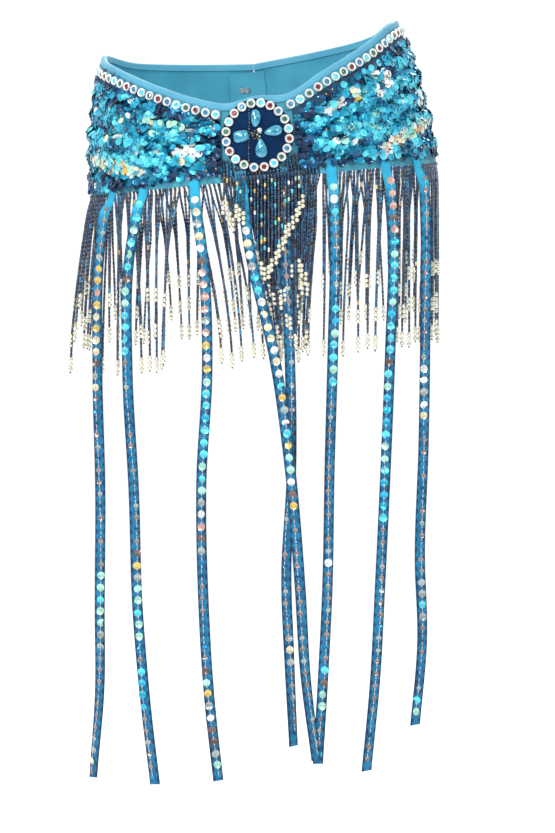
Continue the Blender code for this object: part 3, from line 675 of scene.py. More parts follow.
def brushed_steel():
    """Pressed hooks: steel brushed along their length."""
    look = Look("hook_steel", Metallic=1.0)
    where = look.add("Mapping", {"Vector": look.add("TexCoord").outputs["Object"], "Scale": (1.0, 1.0, 18.0)})
    brush = look.noise(300.0, 2.0, where.outputs["Vector"])
    return mottled(look, brush, ("C9CACC", "8E9094"), (0.25, 0.45), brush, 0.0001)


BAND_LOOK = stretch_cloth("band_cloth", "3C9DB6", "27788F", 0.62)
BINDING_LOOK = stretch_cloth("binding_cloth", "53A6C2", "4190B0", 0.5, Sheen_Weight=0.12)
DRAPE_LOOK = net_cloth("drape_net", "071C38", "125680", 0.6)
HEADING_LOOK = net_cloth("heading_net", "155C7C", "52BFD2", 0.6, 0.0026, 120.0)
POINT_LOOK = net_cloth("point_net", "0B2038", "1B557A", 0.6, 0.0026, 170.0)
SEQUIN_LOOK = foil("sequin_foil", 0.20, 0.50, 0.35, Specular_IOR_Level=0.3)
# Less metallic foil, so that the sequins with painted-highlight tints read pale
GLINT_LOOK = foil("glint_foil", 0.18, 0.12, 0.6)
BEAD_LOOK = foil("bugle_glass", 0.22, 0.30, 0.8)
BALL_LOOK = foil("silver_beads", 0.14, 0.55, 0.6)
STONE_LOOK = foil("cut_stones", 0.10, 0.35, 1.0, grain=600.0)
THREAD_LOOK = foil("thread", 0.6, 0.0, 0.0)
CUP_LOOK = cup_metal()
VELVET_LOOK = velvet()
PETAL_LOOK = petal_glass()
# The front braid carries painted light at its root; the shaded copy has none, as painted shade where a ribbon
# hangs behind the fringe.
RIBBON_LOOK = ribbon_braid("ribbon_braid", 0.65)
BACK_RIBBON_LOOK = ribbon_braid("shaded_braid", 0.0)
STEEL_LOOK = brushed_steel()
SILVER = np.asarray(hex_colour("F3EFD8"))


# Camera, light and floor
CAMERA_AT = Vector((0.0205, -3.0, -0.07))
LOOK_AT = Vector((0.0205, 0.0, -0.310))
FRAME_HEIGHT_PX = 833
PIXEL = 0.001012        # metres at the origin's distance
SENSOR = 36.0
SKY_SLOPE = (0.0, 0.45, 0.66)   # the surround brightens to the back and up by this much
SKY_MIDDLE = 0.66
SKY_DARKEST = 0.18


def aim(thing, place_at, target):
    """Puts a camera or light at a place, looking at a target."""
    thing.location = place_at
    thing.rotation_euler = (Vector(target) - Vector(place_at)).to_track_quat("-Z", "Y").to_euler()
    bpy.context.scene.collection.objects.link(thing)


def make_camera():
    """Camera whose lens gives the named size of a pixel at the origin's distance."""
    data = bpy.data.cameras.new("camera")
    data.sensor_fit = "VERTICAL"
    data.sensor_height = SENSOR
    data.lens = SENSOR * -CAMERA_AT.y / (PIXEL * FRAME_HEIGHT_PX)
    camera = bpy.data.objects.new("camera", data)
    aim(camera, CAMERA_AT, LOOK_AT)
    bpy.context.scene.camera = camera


def make_light(name, place_at, width, watts):
    """White area light that looks at the middle of the belt with its ribbons."""
    data = bpy.data.lights.new(name, "AREA")
    data.size = width
    data.energy = watts
    aim(bpy.data.objects.new(name, data), place_at, (0.0, 0.0, -0.25))


def make_sky():
    """Even pale surround whose strength follows a slope, and never falls below its darkest."""
    world = bpy.data.worlds.new("studio")
    world.use_nodes = True
    nodes, links = world.node_tree.nodes, world.node_tree.links
    sky = nodes.new("ShaderNodeVectorMath")
    sky.operation = "DOT_PRODUCT"
    sky.inputs[1].default_value = SKY_SLOPE
    links.new(nodes.new("ShaderNodeTexCoord").outputs["Generated"], sky.inputs[0])
    total = nodes.new("ShaderNodeMath")
    total.inputs[1].default_value = SKY_MIDDLE
    links.new(sky.outputs["Value"], total.inputs[0])
    strength = nodes.new("ShaderNodeMath")
    strength.operation = "MAXIMUM"
    strength.inputs[1].default_value = SKY_DARKEST
    links.new(total.outputs[0], strength.inputs[0])
    background = nodes["Background"]
    background.inputs["Color"].default_value = (1.0, 1.0, 1.0, 1.0)
    links.new(strength.outputs[0], background.inputs["Strength"])
    bpy.context.scene.world = world
    bpy.context.scene.view_settings.view_transform = "Standard"


def make_floor():
    """Pale painted floor below the ribbons' ends."""
    look = Look("floor_paint", Roughness=0.9)
    speckle = look.ranged(look.noise(14.0), 0.0, 1.0)
    look.surface(look.mix(speckle, (0.96, 0.96, 0.96, 1.0), (0.94, 0.94, 0.94, 1.0)))
    bpy.ops.mesh.primitive_circle_add(vertices=96, radius=9.0, fill_type="NGON", location=(0.0, 0.0, -1.0))
    floor = bpy.context.object
    floor.name = "floor"
    floor.data.materials.append(look.material)


def make_studio():
    """Surround, soft key and back lights, two small lights for sparkle, and the floor."""
    make_sky()
    make_light("key", (-1.3, -2.3, 1.5), 1.0, 40.0)
    make_light("sparkle_left", (-0.5, -2.6, 0.6), 0.12, 12.0)
    make_light("sparkle_right", (0.9, -2.4, 0.9), 0.12, 12.0)
    make_light("back", (0.6, 2.2, 1.4), 1.0, 30.0)
    make_floor()


# Band, binding and centre back
def level(value):
    """A height or distance that is the same everywhere, as a function of the arc."""
    return value if callable(value) else lambda arc: value + 0.0 * arc


def strip(name, first, last, low, high, back, thick, look, slot, step=0.0026, rows=10):
    """Smooth strip of cloth between two arcs and two heights."""
    low, high = level(low), level(high)

    def skin(out):
        return lambda arc, share: (arc, low(arc) + share * (high(arc) - low(arc)), out + 0.0 * arc)

    across = np.linspace(first, last, max(3, int(abs(last - first) / step)))
    return cloth(name, across, np.linspace(0.0, 1.0, rows + 1), skin(back), skin(back + thick), look, slot)


def make_band():
    """Firm plain cloth in three lengths, and the underlap at centre back."""
    lengths = (
        ("band_front", "front_band", -QUARTER + SEAM, QUARTER - SEAM),
        ("band_back_left", "left_back_band", -BACK_END, -QUARTER - SEAM),
        ("band_back_right", "right_back_band", QUARTER + SEAM, BACK_END),
    )
    for node, name, first, last in lengths:
        band = strip(name, first, last, 0.0, top_height, 0.0, BAND, BAND_LOOK, "base_cloth")
        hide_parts(node)
        arcs = np.linspace(first, last, 400)
    high = float(top_height(HALF_GIRTH)) - BINDING_LEG - UNDERLAP_CLEAR
    underlap = strip("underlap", HALF_GIRTH - UNDERLAP_SEWN, HALF_GIRTH + UNDERLAP, UNDERLAP_LOW, high,
                     -GAP - UNDERLAP_THICK, UNDERLAP_THICK, BAND_LOOK, "base_cloth")
    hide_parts("back_underlap")
    make_hooks(UNDERLAP_LOW, high)


def make_hooks(low, high):
    """Flat pressed hooks sewn to the underlap: round-ended plates with a waist and a lip at the free end."""
    length, tall, thick = HOOK_SIZE
    start = HALF_GIRTH + HOOK_INSET
    inside = -2 * GAP - UNDERLAP_THICK

    def skin(middle, lift):
        def points(share, up):
            ends = (1.0 - np.abs(2.0 * share - 1.0) ** 5) ** 0.5
            waist = 1.0 - 0.38 * np.exp(-((share - 0.60) / 0.14) ** 2)
            lip = 0.0008 * np.exp(-((share - 0.10) / 0.07) ** 2)
            arc = start + length * (0.02 + 0.96 * share)
            return arc, middle + up * tall / 2 * ends * waist, inside - thick + lift - lip
        return points

    for number in range(HOOKS):
        middle = low + (high - low) * (number + 0.5) / HOOKS
        hook = cloth(f"hook_{number + 1}", np.linspace(0.015, 0.985, 33), np.linspace(-1.0, 1.0, 9),
                     skin(middle, 0.0), skin(middle, thick), STEEL_LOOK, "hook_metal")
        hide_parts(f"back_hook_{number + 1}")
        share = np.repeat((0.46, 0.88), 3)
        offset = np.tile((-0.0016, 0.0, 0.0016), 2)
        surface = lambda arc, height: place(arc, height, inside - thick - 0.0001 + 0.0 * arc)
        centre, axes = on_surface(surface, start + length * share, middle + offset)
        scatter(f"hook_thread_{number + 1}", STITCH_SHAPE, centre, axes, (0.0011, 0.00025, 0.00025),
                hex_colour("2E86A4"), THREAD_LOOK, "base_cloth")


def binding_profile(turn):
    """Height and distance out of the binding's middle line: up the inside, over the edge and down the front.

    The two legs are straight and a half circle joins them. turn runs from 0 to 1 along the line.
    """
    radius = (FIRST + CLOTH / 2 + GAP + CLOTH / 2) / 2
    middle = radius - GAP - CLOTH / 2
    bend = math.pi * radius
    leg = BINDING_LEG + GAP
    run = turn * (2 * leg + bend)
    angle = np.clip((run - leg) / radius, 0.0, math.pi)
    height = np.where(run < leg, run - leg, np.where(run > leg + bend, leg + bend - run, 0.0))
    return height + 0.5 * radius * np.sin(angle) + 0.0003, middle - radius * np.cos(angle), angle


def make_binding():
    """Binding folded over the top edge, with a line of small stitches along its front leg."""
    def skin(side):
        def points(arc, turn):
            height, out, angle = binding_profile(turn)
            lift = side * CLOTH / 2
            return arc, top_height(arc) + height + lift * np.sin(angle), out - lift * np.cos(angle)
        return points

    across = np.linspace(-HALF_GIRTH + 0.5 * SEAM, HALF_GIRTH - 0.5 * SEAM, 360)
    binding = cloth("top_binding", across, np.linspace(0.0, 1.0, 19), skin(-1), skin(1), BINDING_LOOK,
                    "base_cloth", cut=lambda arc, turn: (arc, turn * BINDING_ROUND))
    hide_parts("binding")
    arcs = np.arange(-BACK_END + 0.002, BACK_END, STITCH_PITCH)
    surface = lambda arc, height: place(arc, top_height(arc) + height, FIRST + CLOTH + 0.0001 + 0.0 * arc)
    centre, axes = on_surface(surface, arcs, np.full(len(arcs), -BINDING_LEG + STITCH_INSET))
    stitches = scatter("binding_stitches", STITCH_SHAPE, centre, axes[:, [1, 2, 0]],
                       (0.00022, 0.00018, 0.0010), hex_colour("3F9CC0"), THREAD_LOOK, "base_cloth")
    [stitches] + make_stone_rows()


# Draped sequin cloth
def drape_high(arc):
    """Height of the drape's upper edge, a seam below the stones' tape."""
    return top_height(arc) - BINDING_LEG - STONE_TAPE - 3 * GAP


def pinned(share):
    """Goes from 0 at both edges of the drape to 1 between them."""
    return soft_step(share / PINNED) * soft_step((1.0 - share) / PINNED)


def fold_rise(reach, share, side):
    """How far the drape stands out: bell-shaped ridges fan out from the medallion, pinned at the edges."""
    fan = ease(reach / FAN)
    strength = soft_step(reach / GATHER) * soft_step((HALF_GIRTH - reach) / FAN)
    rise = np.zeros_like(share)
    for fold in FOLDS[side]:
        middle = fold.near + (fold.far - fold.near) * fan
        rise = rise + fold.rise * np.exp(-((share - middle) / fold.width) ** 2)
    return rise * strength * pinned(share)


def pucker(reach, share, side):
    """Fine gathers: short waves up the cloth whose phase wanders along it, strongest by the medallion."""
    wander = 0.9 * np.sin(31.0 * reach + side) + 0.5 * np.sin(73.0 * reach)
    near = 0.35 + 0.65 * np.exp(-reach / 0.09)
    return PUCKER * near * pinned(share) * (1.0 + np.sin(2 * math.pi * (9.0 * share + wander)))


def drape_out(reach, share, side, lift):
    """Distance out of the drape, a lift above its inside: folds and fine gathers on an eased layer."""
    return FIRST + DRAPE_EASE + fold_rise(reach, share, side) + pucker(reach, share, side) + lift


def drape_place(side, arc, height):
    """Reach from the drape's front edge and share of its height, for arcs and heights on one side."""
    low = HEADING + GAP
    return np.maximum(side * arc - DRAPE_START[side], 0.0), (height - low) / (drape_high(arc) - low)


def drape_surface(side, lift=DRAPE_CLOTH):
    """Surface of one side's drape as a function of arc and height, a lift above the cloth's inside."""
    def surface(arc, height):
        return place(arc, height, drape_out(*drape_place(side, arc, height), side, lift))
    return surface


def glint_of(arc, height):
    """Number of the glint that a place lies in, or -1: an ellipse that is sheared by the glint's slope."""
    found = np.full(len(arc), -1)
    for number, glint in enumerate(GLINTS):
        across = (arc - glint.arc) / glint.half_length
        up = (height - glint.height - glint.slope * (arc - glint.arc)) / glint.half_height
        found = np.where(across ** 2 + up ** 2 < 1.0, number, found)
    return found


def sequin_places(side):
    """Arcs and heights of one side's sequins: columns a step apart, every other one half a sequin down."""
    columns = np.arange(DRAPE_START[side] + 0.7 * SEQUIN_STEP, BACK_END - 0.4 * SEQUIN_STEP, SEQUIN_STEP)
    low = HEADING - SEQUIN_LOW - HEM_COVER[side] * soft_step((columns - 0.085) / 0.040)
    high = drape_high(columns) - SEQUIN_HIGH
    counts = ((high - low) / SEQUIN_STEP).astype(int) + 1
    column = np.repeat(np.arange(len(columns)), counts)
    row = np.arange(len(column)) - np.repeat(np.cumsum(counts) - counts, counts)
    tall = (high - low)[column]
    height = low[column] + tall * (row + 0.25 + 0.5 * (column % 2)) / counts[column]
    return side * columns[column], height


def sequin_tints(rng, side, arc, height):
    """Tints of one side's sequins, which of them lie in a glint and which are strays.

    A sequin's tone follows its score: how near to a fold's crest it lies, which paints light on crests and
    shade in valleys, patches of a few waves and chance, and less, as painted shade, where the cloth gathers to
    the medallion.
    """
    count = len(arc)
    reach, share = drape_place(side, arc, height)
    share = np.clip(share, 0.0, 1.0)
    # Fold height paints light and shade: crests get light tones, valleys dark ones.
    crest = np.clip(fold_rise(reach, share, side) / CREST, 0.0, 1.0)
    patch = (np.sin(140 * arc + 160 * height) + np.sin(217 * arc - 260 * height + 2)
             + np.sin(63 * arc + 330 * height + side))
    # Painted shade where the cloth gathers to the medallion: these sequins score lower.
    gather_shade = np.exp(-reach / 0.008) * (share < 0.72)
    score = 0.50 * crest + 0.13 * patch + 0.42 * rng.random(count) - 0.45 * gather_shade
    tone = np.searchsorted(TONE_STEPS, score)
    tint = np.asarray(DRAPE_SHADE_TONES)[tone] * between(rng, 0.8, 1.15, count)[:, None]
    found = glint_of(arc, height)
    # Sequins in a glint, and stray ones on crests, get pale foils as painted highlights.
    for number, glint in enumerate(GLINTS):
        lit = (found == number) & (rng.random(count) < GLINT_SHARE)
        tint[lit] = pick(rng, glint.tints, np.ones(len(glint.tints)), count)[lit]
    stray_glint = (score > 0.5) & (rng.random(count) < STRAY_GLINT_SHARE)
    tint[stray_glint] = pick(rng, (WHITE, CREAM, MINT), (3, 1, 1), count)[stray_glint]
    return np.clip(tint, 0.0, 1.0), found >= 0, stray_glint


def make_sequins(rng, side, word):
    """Cupped sequins that overlap like scales. The ones in glints lie calmer and are a piece of their own."""
    arc, height = sequin_places(side)
    count = len(arc)
    arc = arc + between(rng, -0.0009, 0.0009, count)
    height = height + between(rng, -0.0008, 0.0008, count)
    tint, glinting, stray_glint = sequin_tints(rng, side, arc, height)
    radius = between(rng, *SEQUIN_SIZES, count)
    centre, axes = on_surface(drape_surface(side), arc, height)
    calm = np.where(glinting, 0.45, 1.0)
    tip = np.radians(-7.0 + calm * rng.normal(0.0, 8.5, count))
    lean = np.radians(calm * rng.normal(0.0, 9.0, count))
    axes = turned(axes, tip, lean, between(rng, 0.0, 2 * math.pi, count))
    hem_row = 0.0012 * (drape_place(side, arc, height)[1] < 0.02)
    centre = centre + axes[:, 2] * (0.0003 + 0.0007 * rng.random(count) + hem_row)[:, None]
    # The sequins with painted-highlight tints are a piece of their own, on the glint foil.
    lit = glinting | stray_glint
    return [
        scatter(f"{name}_{word}", SEQUIN_SHAPE, centre[own], axes[own], radius[own][:, None], tint[own],
                foil_look, "sequin_cloth", 30)
        for name, own, foil_look in (("sequins", ~lit, SEQUIN_LOOK), ("bright_sequins", lit, GLINT_LOOK))
    ]


def make_flecks(rng, side, word):
    """Small copper beads strewn over one side's sequins."""
    low = HEADING + GAP
    arc = side * between(rng, DRAPE_START[side] + 0.002, BACK_END - 0.003, FLECKS)
    share = between(rng, 0.03, 0.97, FLECKS)
    height = low + share * (drape_high(arc) - low)
    centre, axes = on_surface(drape_surface(side, DRAPE_CLOTH + 0.0022), arc, height)
    axes = turned(axes, between(rng, 0.9, 2.2, FLECKS), between(rng, -0.6, 0.6, FLECKS), np.zeros(FLECKS))
    tint = pick(rng, (COPPER, ROSE, BROWN, GOLD, BLACK), (2, 0.6, 5, 0.6, 4), FLECKS)
    return scatter(f"copper_beads_{word}", SEED_SHAPE, centre, axes, FLECK_SIZE, tint, BEAD_LOOK,
                   "sequin_cloth")


def make_drape(side, word, node):
    """Sequin cloth of one side: a dark net in folds with its sequins and copper beads."""
    rng = np.random.default_rng(30 + side)
    start = DRAPE_START[side]
    low = HEADING + GAP

    def skin(lift):
        def points(reach, share):
            arc = side * (start + reach)
            return arc, low + share * (drape_high(arc) - low), drape_out(reach, share, side, lift)
        return points

    reach = np.linspace(0.0, BACK_END - start, 190)[::side]
    base = cloth(f"drape_net_{word}", reach, np.linspace(0.0, 1.0, 61), skin(0.0), skin(DRAPE_CLOTH),
                 DRAPE_LOOK, "sequin_cloth")
    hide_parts(node)
    sequins = make_sequins(rng, side, word)
    beads = make_flecks(rng, side, word)
    arcs = np.linspace(start, BACK_END, 400)
    area = float(np.trapz(drape_high(arcs) - low, arcs))


# Row of set stones
def set_stones(name, centre, axes, tints, node):
    """Round cups with a cut stone each."""
    size = (STONE_CUP, STONE_CUP, STONE_TALL)
    cups = scatter(f"cups_{name}", CUP_SHAPE, centre, axes, size, WHITE, CUP_LOOK, "set_stones", 40)
    stones = scatter(f"stones_{name}", STONE_SHAPE, centre, axes, size, tints, STONE_LOOK, "set_stones", 20)
    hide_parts(node)
    return cups, stones


def make_stone_rows():
    """Tape under the binding with a cup at each step. The stones' colours go round by four."""
    def high(arc):
        return top_height(arc) - BINDING_LEG - GAP

    cycles = {-1: (AQUA, BLUE, RED, GREEN), 1: (BLUE, AQUA, GREEN, RED)}
    made = []
    for side, word in ((-1, "left"), (1, "right")):
        start = STONES_START + ROW_SHIFT[side]
        first, last = sorted((side * start, side * (start + STONE_PITCH * STONES_A_SIDE)))
        tape = strip(f"stone_tape_{word}", first, last, lambda arc: high(arc) - STONE_TAPE, high, FIRST,
                     TAPE_THICK, HEADING_LOOK, "set_stones", rows=2)
        number = np.arange(STONES_A_SIDE)
        arc = side * (start + STONE_PITCH * (number + 0.5))
        surface = lambda arc, height: place(arc, top_height(arc) + height, FIRST + TAPE_THICK + 0.0 * arc)
        below = np.full(len(arc), -BINDING_LEG - GAP - STONE_TAPE / 2)
        centre, axes = on_surface(surface, arc, below)
        tints = np.asarray(cycles[side])[number % 4]
        made += [tape, *set_stones(word, centre, axes, tints, f"stone_row_{word}")]
    return made


# Medallion
def on_disc(x, y, out):
    """Place for a point of the medallion, from its middle."""
    return place(MEDALLION_ARC + x, MEDALLION_HEIGHT + y, out)


def make_disc():
    """Padded velvet disc: a low dome with a round edge, in rings and spokes, with a flat back.

    turn runs from the middle of the back to the middle of the front, and the back's share of it is 0.42.
    """
    rings, spokes, back = 26, 72, 0.42
    turn = np.linspace(0.0, 1.0, rings + 1)[1:-1]
    angle = np.arange(spokes) * 2 * math.pi / spokes
    front = turn > back
    bend = (1.0 - turn) / 0.58 * math.pi / 2
    radius = MEDALLION_RADIUS * np.where(front, np.sin(bend) ** 0.8, turn / back)
    level_out = np.where(front, DISC_THICK * (0.55 + 0.45 * np.cos(bend)), 0.0)
    level_out[0] = 0.0
    x, y = radius[:, None] * np.cos(angle), radius[:, None] * np.sin(angle)
    points = on_disc(x, y, SECOND + level_out[:, None] + 0.0 * x).reshape(-1, 3)
    disc = add_piece("velvet_disc", points, *ringed(len(turn), spokes), VELVET_LOOK, "medallion_cloth")
    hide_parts("medallion_disc")


def make_petal(number, petal):
    """Glass petal: a super-ellipse, tapered and bent as its row says, domed in front over a thin back."""
    turn = math.radians(petal.degrees)
    cosine, sine = math.cos(turn), math.sin(turn)
    around, steps = 36, 17
    lift = np.linspace(-math.pi / 2, math.pi / 2, steps)[1:-1]
    angle = np.arange(around) * 2 * math.pi / around
    power = 1.0 - petal.square
    along = np.cos(lift)[:, None] * np.sign(np.cos(angle)) * np.abs(np.cos(angle)) ** power
    wide = np.cos(lift)[:, None] * np.sign(np.sin(angle)) * np.abs(np.sin(angle)) ** power
    wide = wide * (1.0 + petal.taper * (along - 0.4))
    x = along * petal.length / 2
    y = wide * petal.width / 2 + petal.bend * petal.length * (along ** 2 - 0.4)
    rise = np.where(lift > 0, PETAL_RISE * np.sin(np.abs(lift)) ** 0.8, -PETAL_BACK * np.sin(np.abs(lift)))
    out = JEWEL_BACK + PETAL_BACK + rise[:, None] + 0.0 * x
    points = on_disc(petal.x + x * cosine - y * sine, petal.y + x * sine + y * cosine, out).reshape(-1, 3)
    faces = ringed(len(lift), around)
    glass = add_piece(f"glass_petal_{number}", points, *faces, PETAL_LOOK, "blue_glass")
    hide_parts(f"medallion_petal_{number}")


def make_seed_beads(surface):
    """A line of seed beads, plumb in the picture, and a knot of them on a spiral beside the clear stone."""
    rng = np.random.default_rng(5)
    y = np.arange(-0.0262, 0.0252, 0.0030)
    x = -0.0084 + 0.096 * y + between(rng, -0.0002, 0.0002, len(y))
    number = np.arange(KNOT_BEADS)
    turn = number * 2.4
    reach = 0.0010 + 0.0042 * np.sqrt(number / KNOT_BEADS)
    knot_x, knot_y = -0.0012 + reach * np.cos(turn), 0.0006 + reach * np.sin(turn)
    centre, axes = on_surface(surface, np.concatenate([x, knot_x]), np.concatenate([y, knot_y]))
    axes = np.stack([axes[:, 0], axes[:, 2], -axes[:, 1]], axis=1)
    tint = np.concatenate([
        pick(rng, (COPPER, PETROL, BROWN, OLIVE), (4, 5, 4, 1), len(y)),
        pick(rng, (BROWN, OLIVE, SMOKE, COPPER), (5, 5, 3, 1), KNOT_BEADS),
    ])
    line_size = np.tile((0.0008, 0.0008, 0.0015), (len(y), 1))
    size = np.concatenate([line_size, np.full((KNOT_BEADS, 3), 0.0013)])
    centre = centre + 0.0007 * axes[:, 1]
    scatter("medallion_beads", SEED_SHAPE, centre, axes, size, tint, BEAD_LOOK, "bead_strands")


def make_medallion():
    """Velvet disc, rim of twenty set stones, four petals, a small clear stone and tiny beads."""
    make_disc()
    number = np.arange(RIM_STONES)
    angle = np.radians(RIM_PHASE + 360.0 / RIM_STONES * number)
    surface = lambda x, y: on_disc(x, y, JEWEL_BACK + 0.0 * x)
    centre, axes = on_surface(surface, RIM_RADIUS * np.cos(angle), RIM_RADIUS * np.sin(angle))
    tints = np.asarray((AQUA, GREEN, BLUE, RED))[number % 4]
    set_stones("rim", centre, axes, tints, "medallion_rim")
    for number, petal in enumerate(PETALS, 1):
        make_petal(number, petal)
    centre, axes = on_surface(surface, np.array([CLEAR_STONE[0]]), np.array([CLEAR_STONE[1]]))
    domed = lathe([(0.9, 0.0), (1.0, 0.35), (0.72, 0.9), (0.4, 1.0)], 12)
    stone = scatter("clear_stone", domed, centre, axes, (0.0026, 0.0026, 0.0030), WHITE, STONE_LOOK,
                    "set_stones", 20)
    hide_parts("medallion_centre")
    make_seed_beads(surface)


# Beaded fringe
def bundled(arc, drop):
    """Arc of strands at a drop: they move part of the way to the middle of their bundle by a soft step."""
    number = np.floor(arc / BUNDLE)
    middle = (number + 0.5 + 0.22 * np.sin(12.9 * number)) * BUNDLE
    return arc + (middle - arc) * BUNDLE_PULL * soft_step(drop / BUNDLE_DROP)


def strand_path(arc, drop):
    """Arc and distance out of strands at a drop: clumps lean together by the eased share of the depth."""
    edges = np.array(CLUMPS)
    number = np.clip(np.searchsorted(edges[:, 0], arc, side="right") - 1, 0, len(CLUMPS) - 1)
    start, end, low_start, low_end, lean = edges[number].T
    low = low_start + (arc - start) / (end - start) * (low_end - low_start)
    pull = ease(drop / FRINGE_DEPTH)
    return bundled(arc, drop) + (low - arc) * pull, FIRST + CLOTH / 2 + lean * pull


def mass_path(arc, drop):
    """The strands behind the short fringe draw together to less than half of their width on the way down."""
    low = MASS_LOW[0] + (arc - MASS_TOP[0]) / (MASS_TOP[1] - MASS_TOP[0]) * (MASS_LOW[1] - MASS_LOW[0])
    pull = np.clip(drop / FRINGE_DEPTH, 0.0, 1.0) ** 0.8
    return arc + (low - arc) * pull, FIRST + CLOTH / 2 + 0.0 * arc


def over_ribbon(roots):
    """Whether a strand of the short fringe hangs over the root of the ribbon that lies in front of it."""
    front = [ribbon for ribbon in RIBBONS if ribbon.out == FRONT_RIBBON_OUT][0]
    return np.abs(roots - front.arc) < (RIBBON_WIDTH + BEAD_WIDTH) / 2


def point_path(arc, drop):
    """The short front fringe hangs straight and swings a little out, more where a ribbon is under it."""
    free = THIRD + CLOTH / 2 + POINT_STAND * np.minimum(drop / POINT_SWING, 1.0)
    half = (RIBBON_CLOTH + BEAD_WIDTH) / 2
    covering = FOURTH + (FRONT_RIBBON_OUT - FOURTH) * swung(drop) + half + ROOT_CLEAR
    return arc, np.where(over_ribbon(arc), covering, free)


def hang_beads(name, path, roots, lengths, tints, weights, seed, start=0.0, back=0.0):
    """Strands of bugle beads that end in three silver balls and one small dark bead.

    They start at a drop, which is negative where they cross the heading tape, and some lie further back.
    """
    rng = np.random.default_rng(seed)
    sway = between(rng, -0.0012, 0.0012, len(roots))
    stand = between(rng, -0.0008, 0.0018, len(roots)) - back

    def at(strand, drop):
        arc, out = path(roots[strand], drop)
        share = np.maximum(drop / lengths[strand], 0.0)
        arc = arc + sway[strand] * np.sin(2.4 * share + strand) * share
        over_tape = (CLOTH / 2 + BEAD_WIDTH / 2) * (1.0 - soft_step((drop + 0.002) / 0.006))
        return place(arc, -drop, out + over_tape + stand[strand] * soft_step(drop / 0.02))

    def axes_at(strand, drop):
        return along_axes(at(strand, drop + 0.0005) - at(strand, drop - 0.0005))

    start = np.broadcast_to(start, lengths.shape)
    beaded = lengths - 3 * BALL - start
    counts = (beaded / BEAD_LONG).astype(int)
    strand = np.repeat(np.arange(len(roots)), counts)
    number = np.arange(len(strand)) - np.repeat(np.cumsum(counts) - counts, counts)
    drop = start[strand] + (number + 0.5) * (beaded / counts)[strand]
    count = len(strand)
    width = BEAD_WIDTH / 2 * between(rng, 0.85, 1.05, count)
    size = np.stack([width, width, np.full(count, BEAD_LONG / 2)], axis=1)
    own = pick(rng, tints[:4], weights[:4], len(roots))[strand]
    tint = np.where((rng.random(count) < 0.5)[:, None], own, pick(rng, tints, weights, count))
    tint = tint * between(rng, 0.75, 1.25, count)[:, None]
    beads = scatter(f"beads_{name}", BEAD_SHAPE, at(strand, drop), axes_at(strand, drop), size,
                    np.clip(tint, 0.0, 1.0), BEAD_LOOK, "bead_strands")

    strand = np.repeat(np.arange(len(roots)), 3)
    drop = lengths[strand] - np.tile((0.5, 1.5, 2.5), len(roots)) * BALL
    silver = SILVER * between(rng, 0.8, 1.1, len(strand))[:, None]
    balls = scatter(f"balls_{name}", BALL_SHAPE, at(strand, drop), axes_at(strand, drop), BALL / 2,
                    np.clip(silver, 0.0, 1.0), BALL_LOOK, "bead_strands")
    strand = np.arange(len(roots))
    drop = lengths + 0.0007
    ends = scatter(f"end_beads_{name}", SEED_SHAPE, at(strand, drop), axes_at(strand, drop), END_BEAD, NAVY,
                   BEAD_LOOK, "bead_strands")
    return [beads, balls, ends]


def spaced(first, last, pitch):
    """Places between two ends, about a pitch apart."""
    count = int(round((last - first) / pitch))
    return first + (np.arange(count) + 0.5) * (last - first) / count


def make_point():
    """Short pointed fringe on its own tape, over the middle of the long one."""
    tape = strip("heading_point", -POINT_HALF, POINT_HALF, 0.0, POINT_HEADING, THIRD, CLOTH, POINT_LOOK,
                 "bead_strands", rows=2)
    roots = spaced(-POINT_HALF + BEAD_WIDTH / 2, POINT_HALF - BEAD_WIDTH / 2, POINT_PITCH)
    side = np.where(roots < POINT_ARC, -POINT_HALF, POINT_HALF)
    share = (roots - side) / (POINT_ARC - side)
    long = POINT_SIDE_LENGTH + share * (POINT_LENGTH - POINT_SIDE_LENGTH)
    long = np.where(over_ribbon(roots), ROOT_SHARE * long, long)
    start = np.where(over_ribbon(roots), 0.0006 - RIBBON_OVERLAP, POINT_START)
    bright = (INK, NAVY, PETROL, BROWN, AQUA, GOLD, COPPER, WHITE, MINT)
    weights = (8, 6, 5, 4, 2, 1.6, 1.4, 1.2, 0.8)
    hung = hang_beads("point", point_path, roots, long, bright, weights, 71, start)
    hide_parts("fringe_medallion")
    return [tape] + hung


def beside_rim(roots):
    """Drops at which the middle strands start: on their tape, or a little below the rim's edge beside it."""
    reach = RIM_RADIUS + STONE_CUP + 0.0010
    edge = MEDALLION_HEIGHT - np.sqrt(np.maximum(reach ** 2 - (roots - MEDALLION_ARC) ** 2, 0.0))
    free = (roots > -DRAPE_START[-1]) & (roots < DRAPE_START[1])
    return -np.where(free, np.clip(edge, 0.0085, 0.0220), 0.0085)


def make_mass(rng, seed):
    """Dense dark strands behind the short fringe, in two layers; their dark tints and density also stand in
    for the shade there.
    """
    hung = []
    for layer in (0, 1):
        roots = spaced(MASS_TOP[0] + MASS_PITCH / 2 * layer, MASS_TOP[1], MASS_PITCH)
        long = FRINGE_DEPTH - 0.004 - between(rng, 0.0, 0.085, len(roots))
        hung += hang_beads(f"mass_{layer + 1}", mass_path, roots, long, (INK, NAVY, PETROL, BLACK),
                           (6, 6, 3, 3), seed + layer, 0.0, -0.0020 + 0.0035 * layer)
    return hung


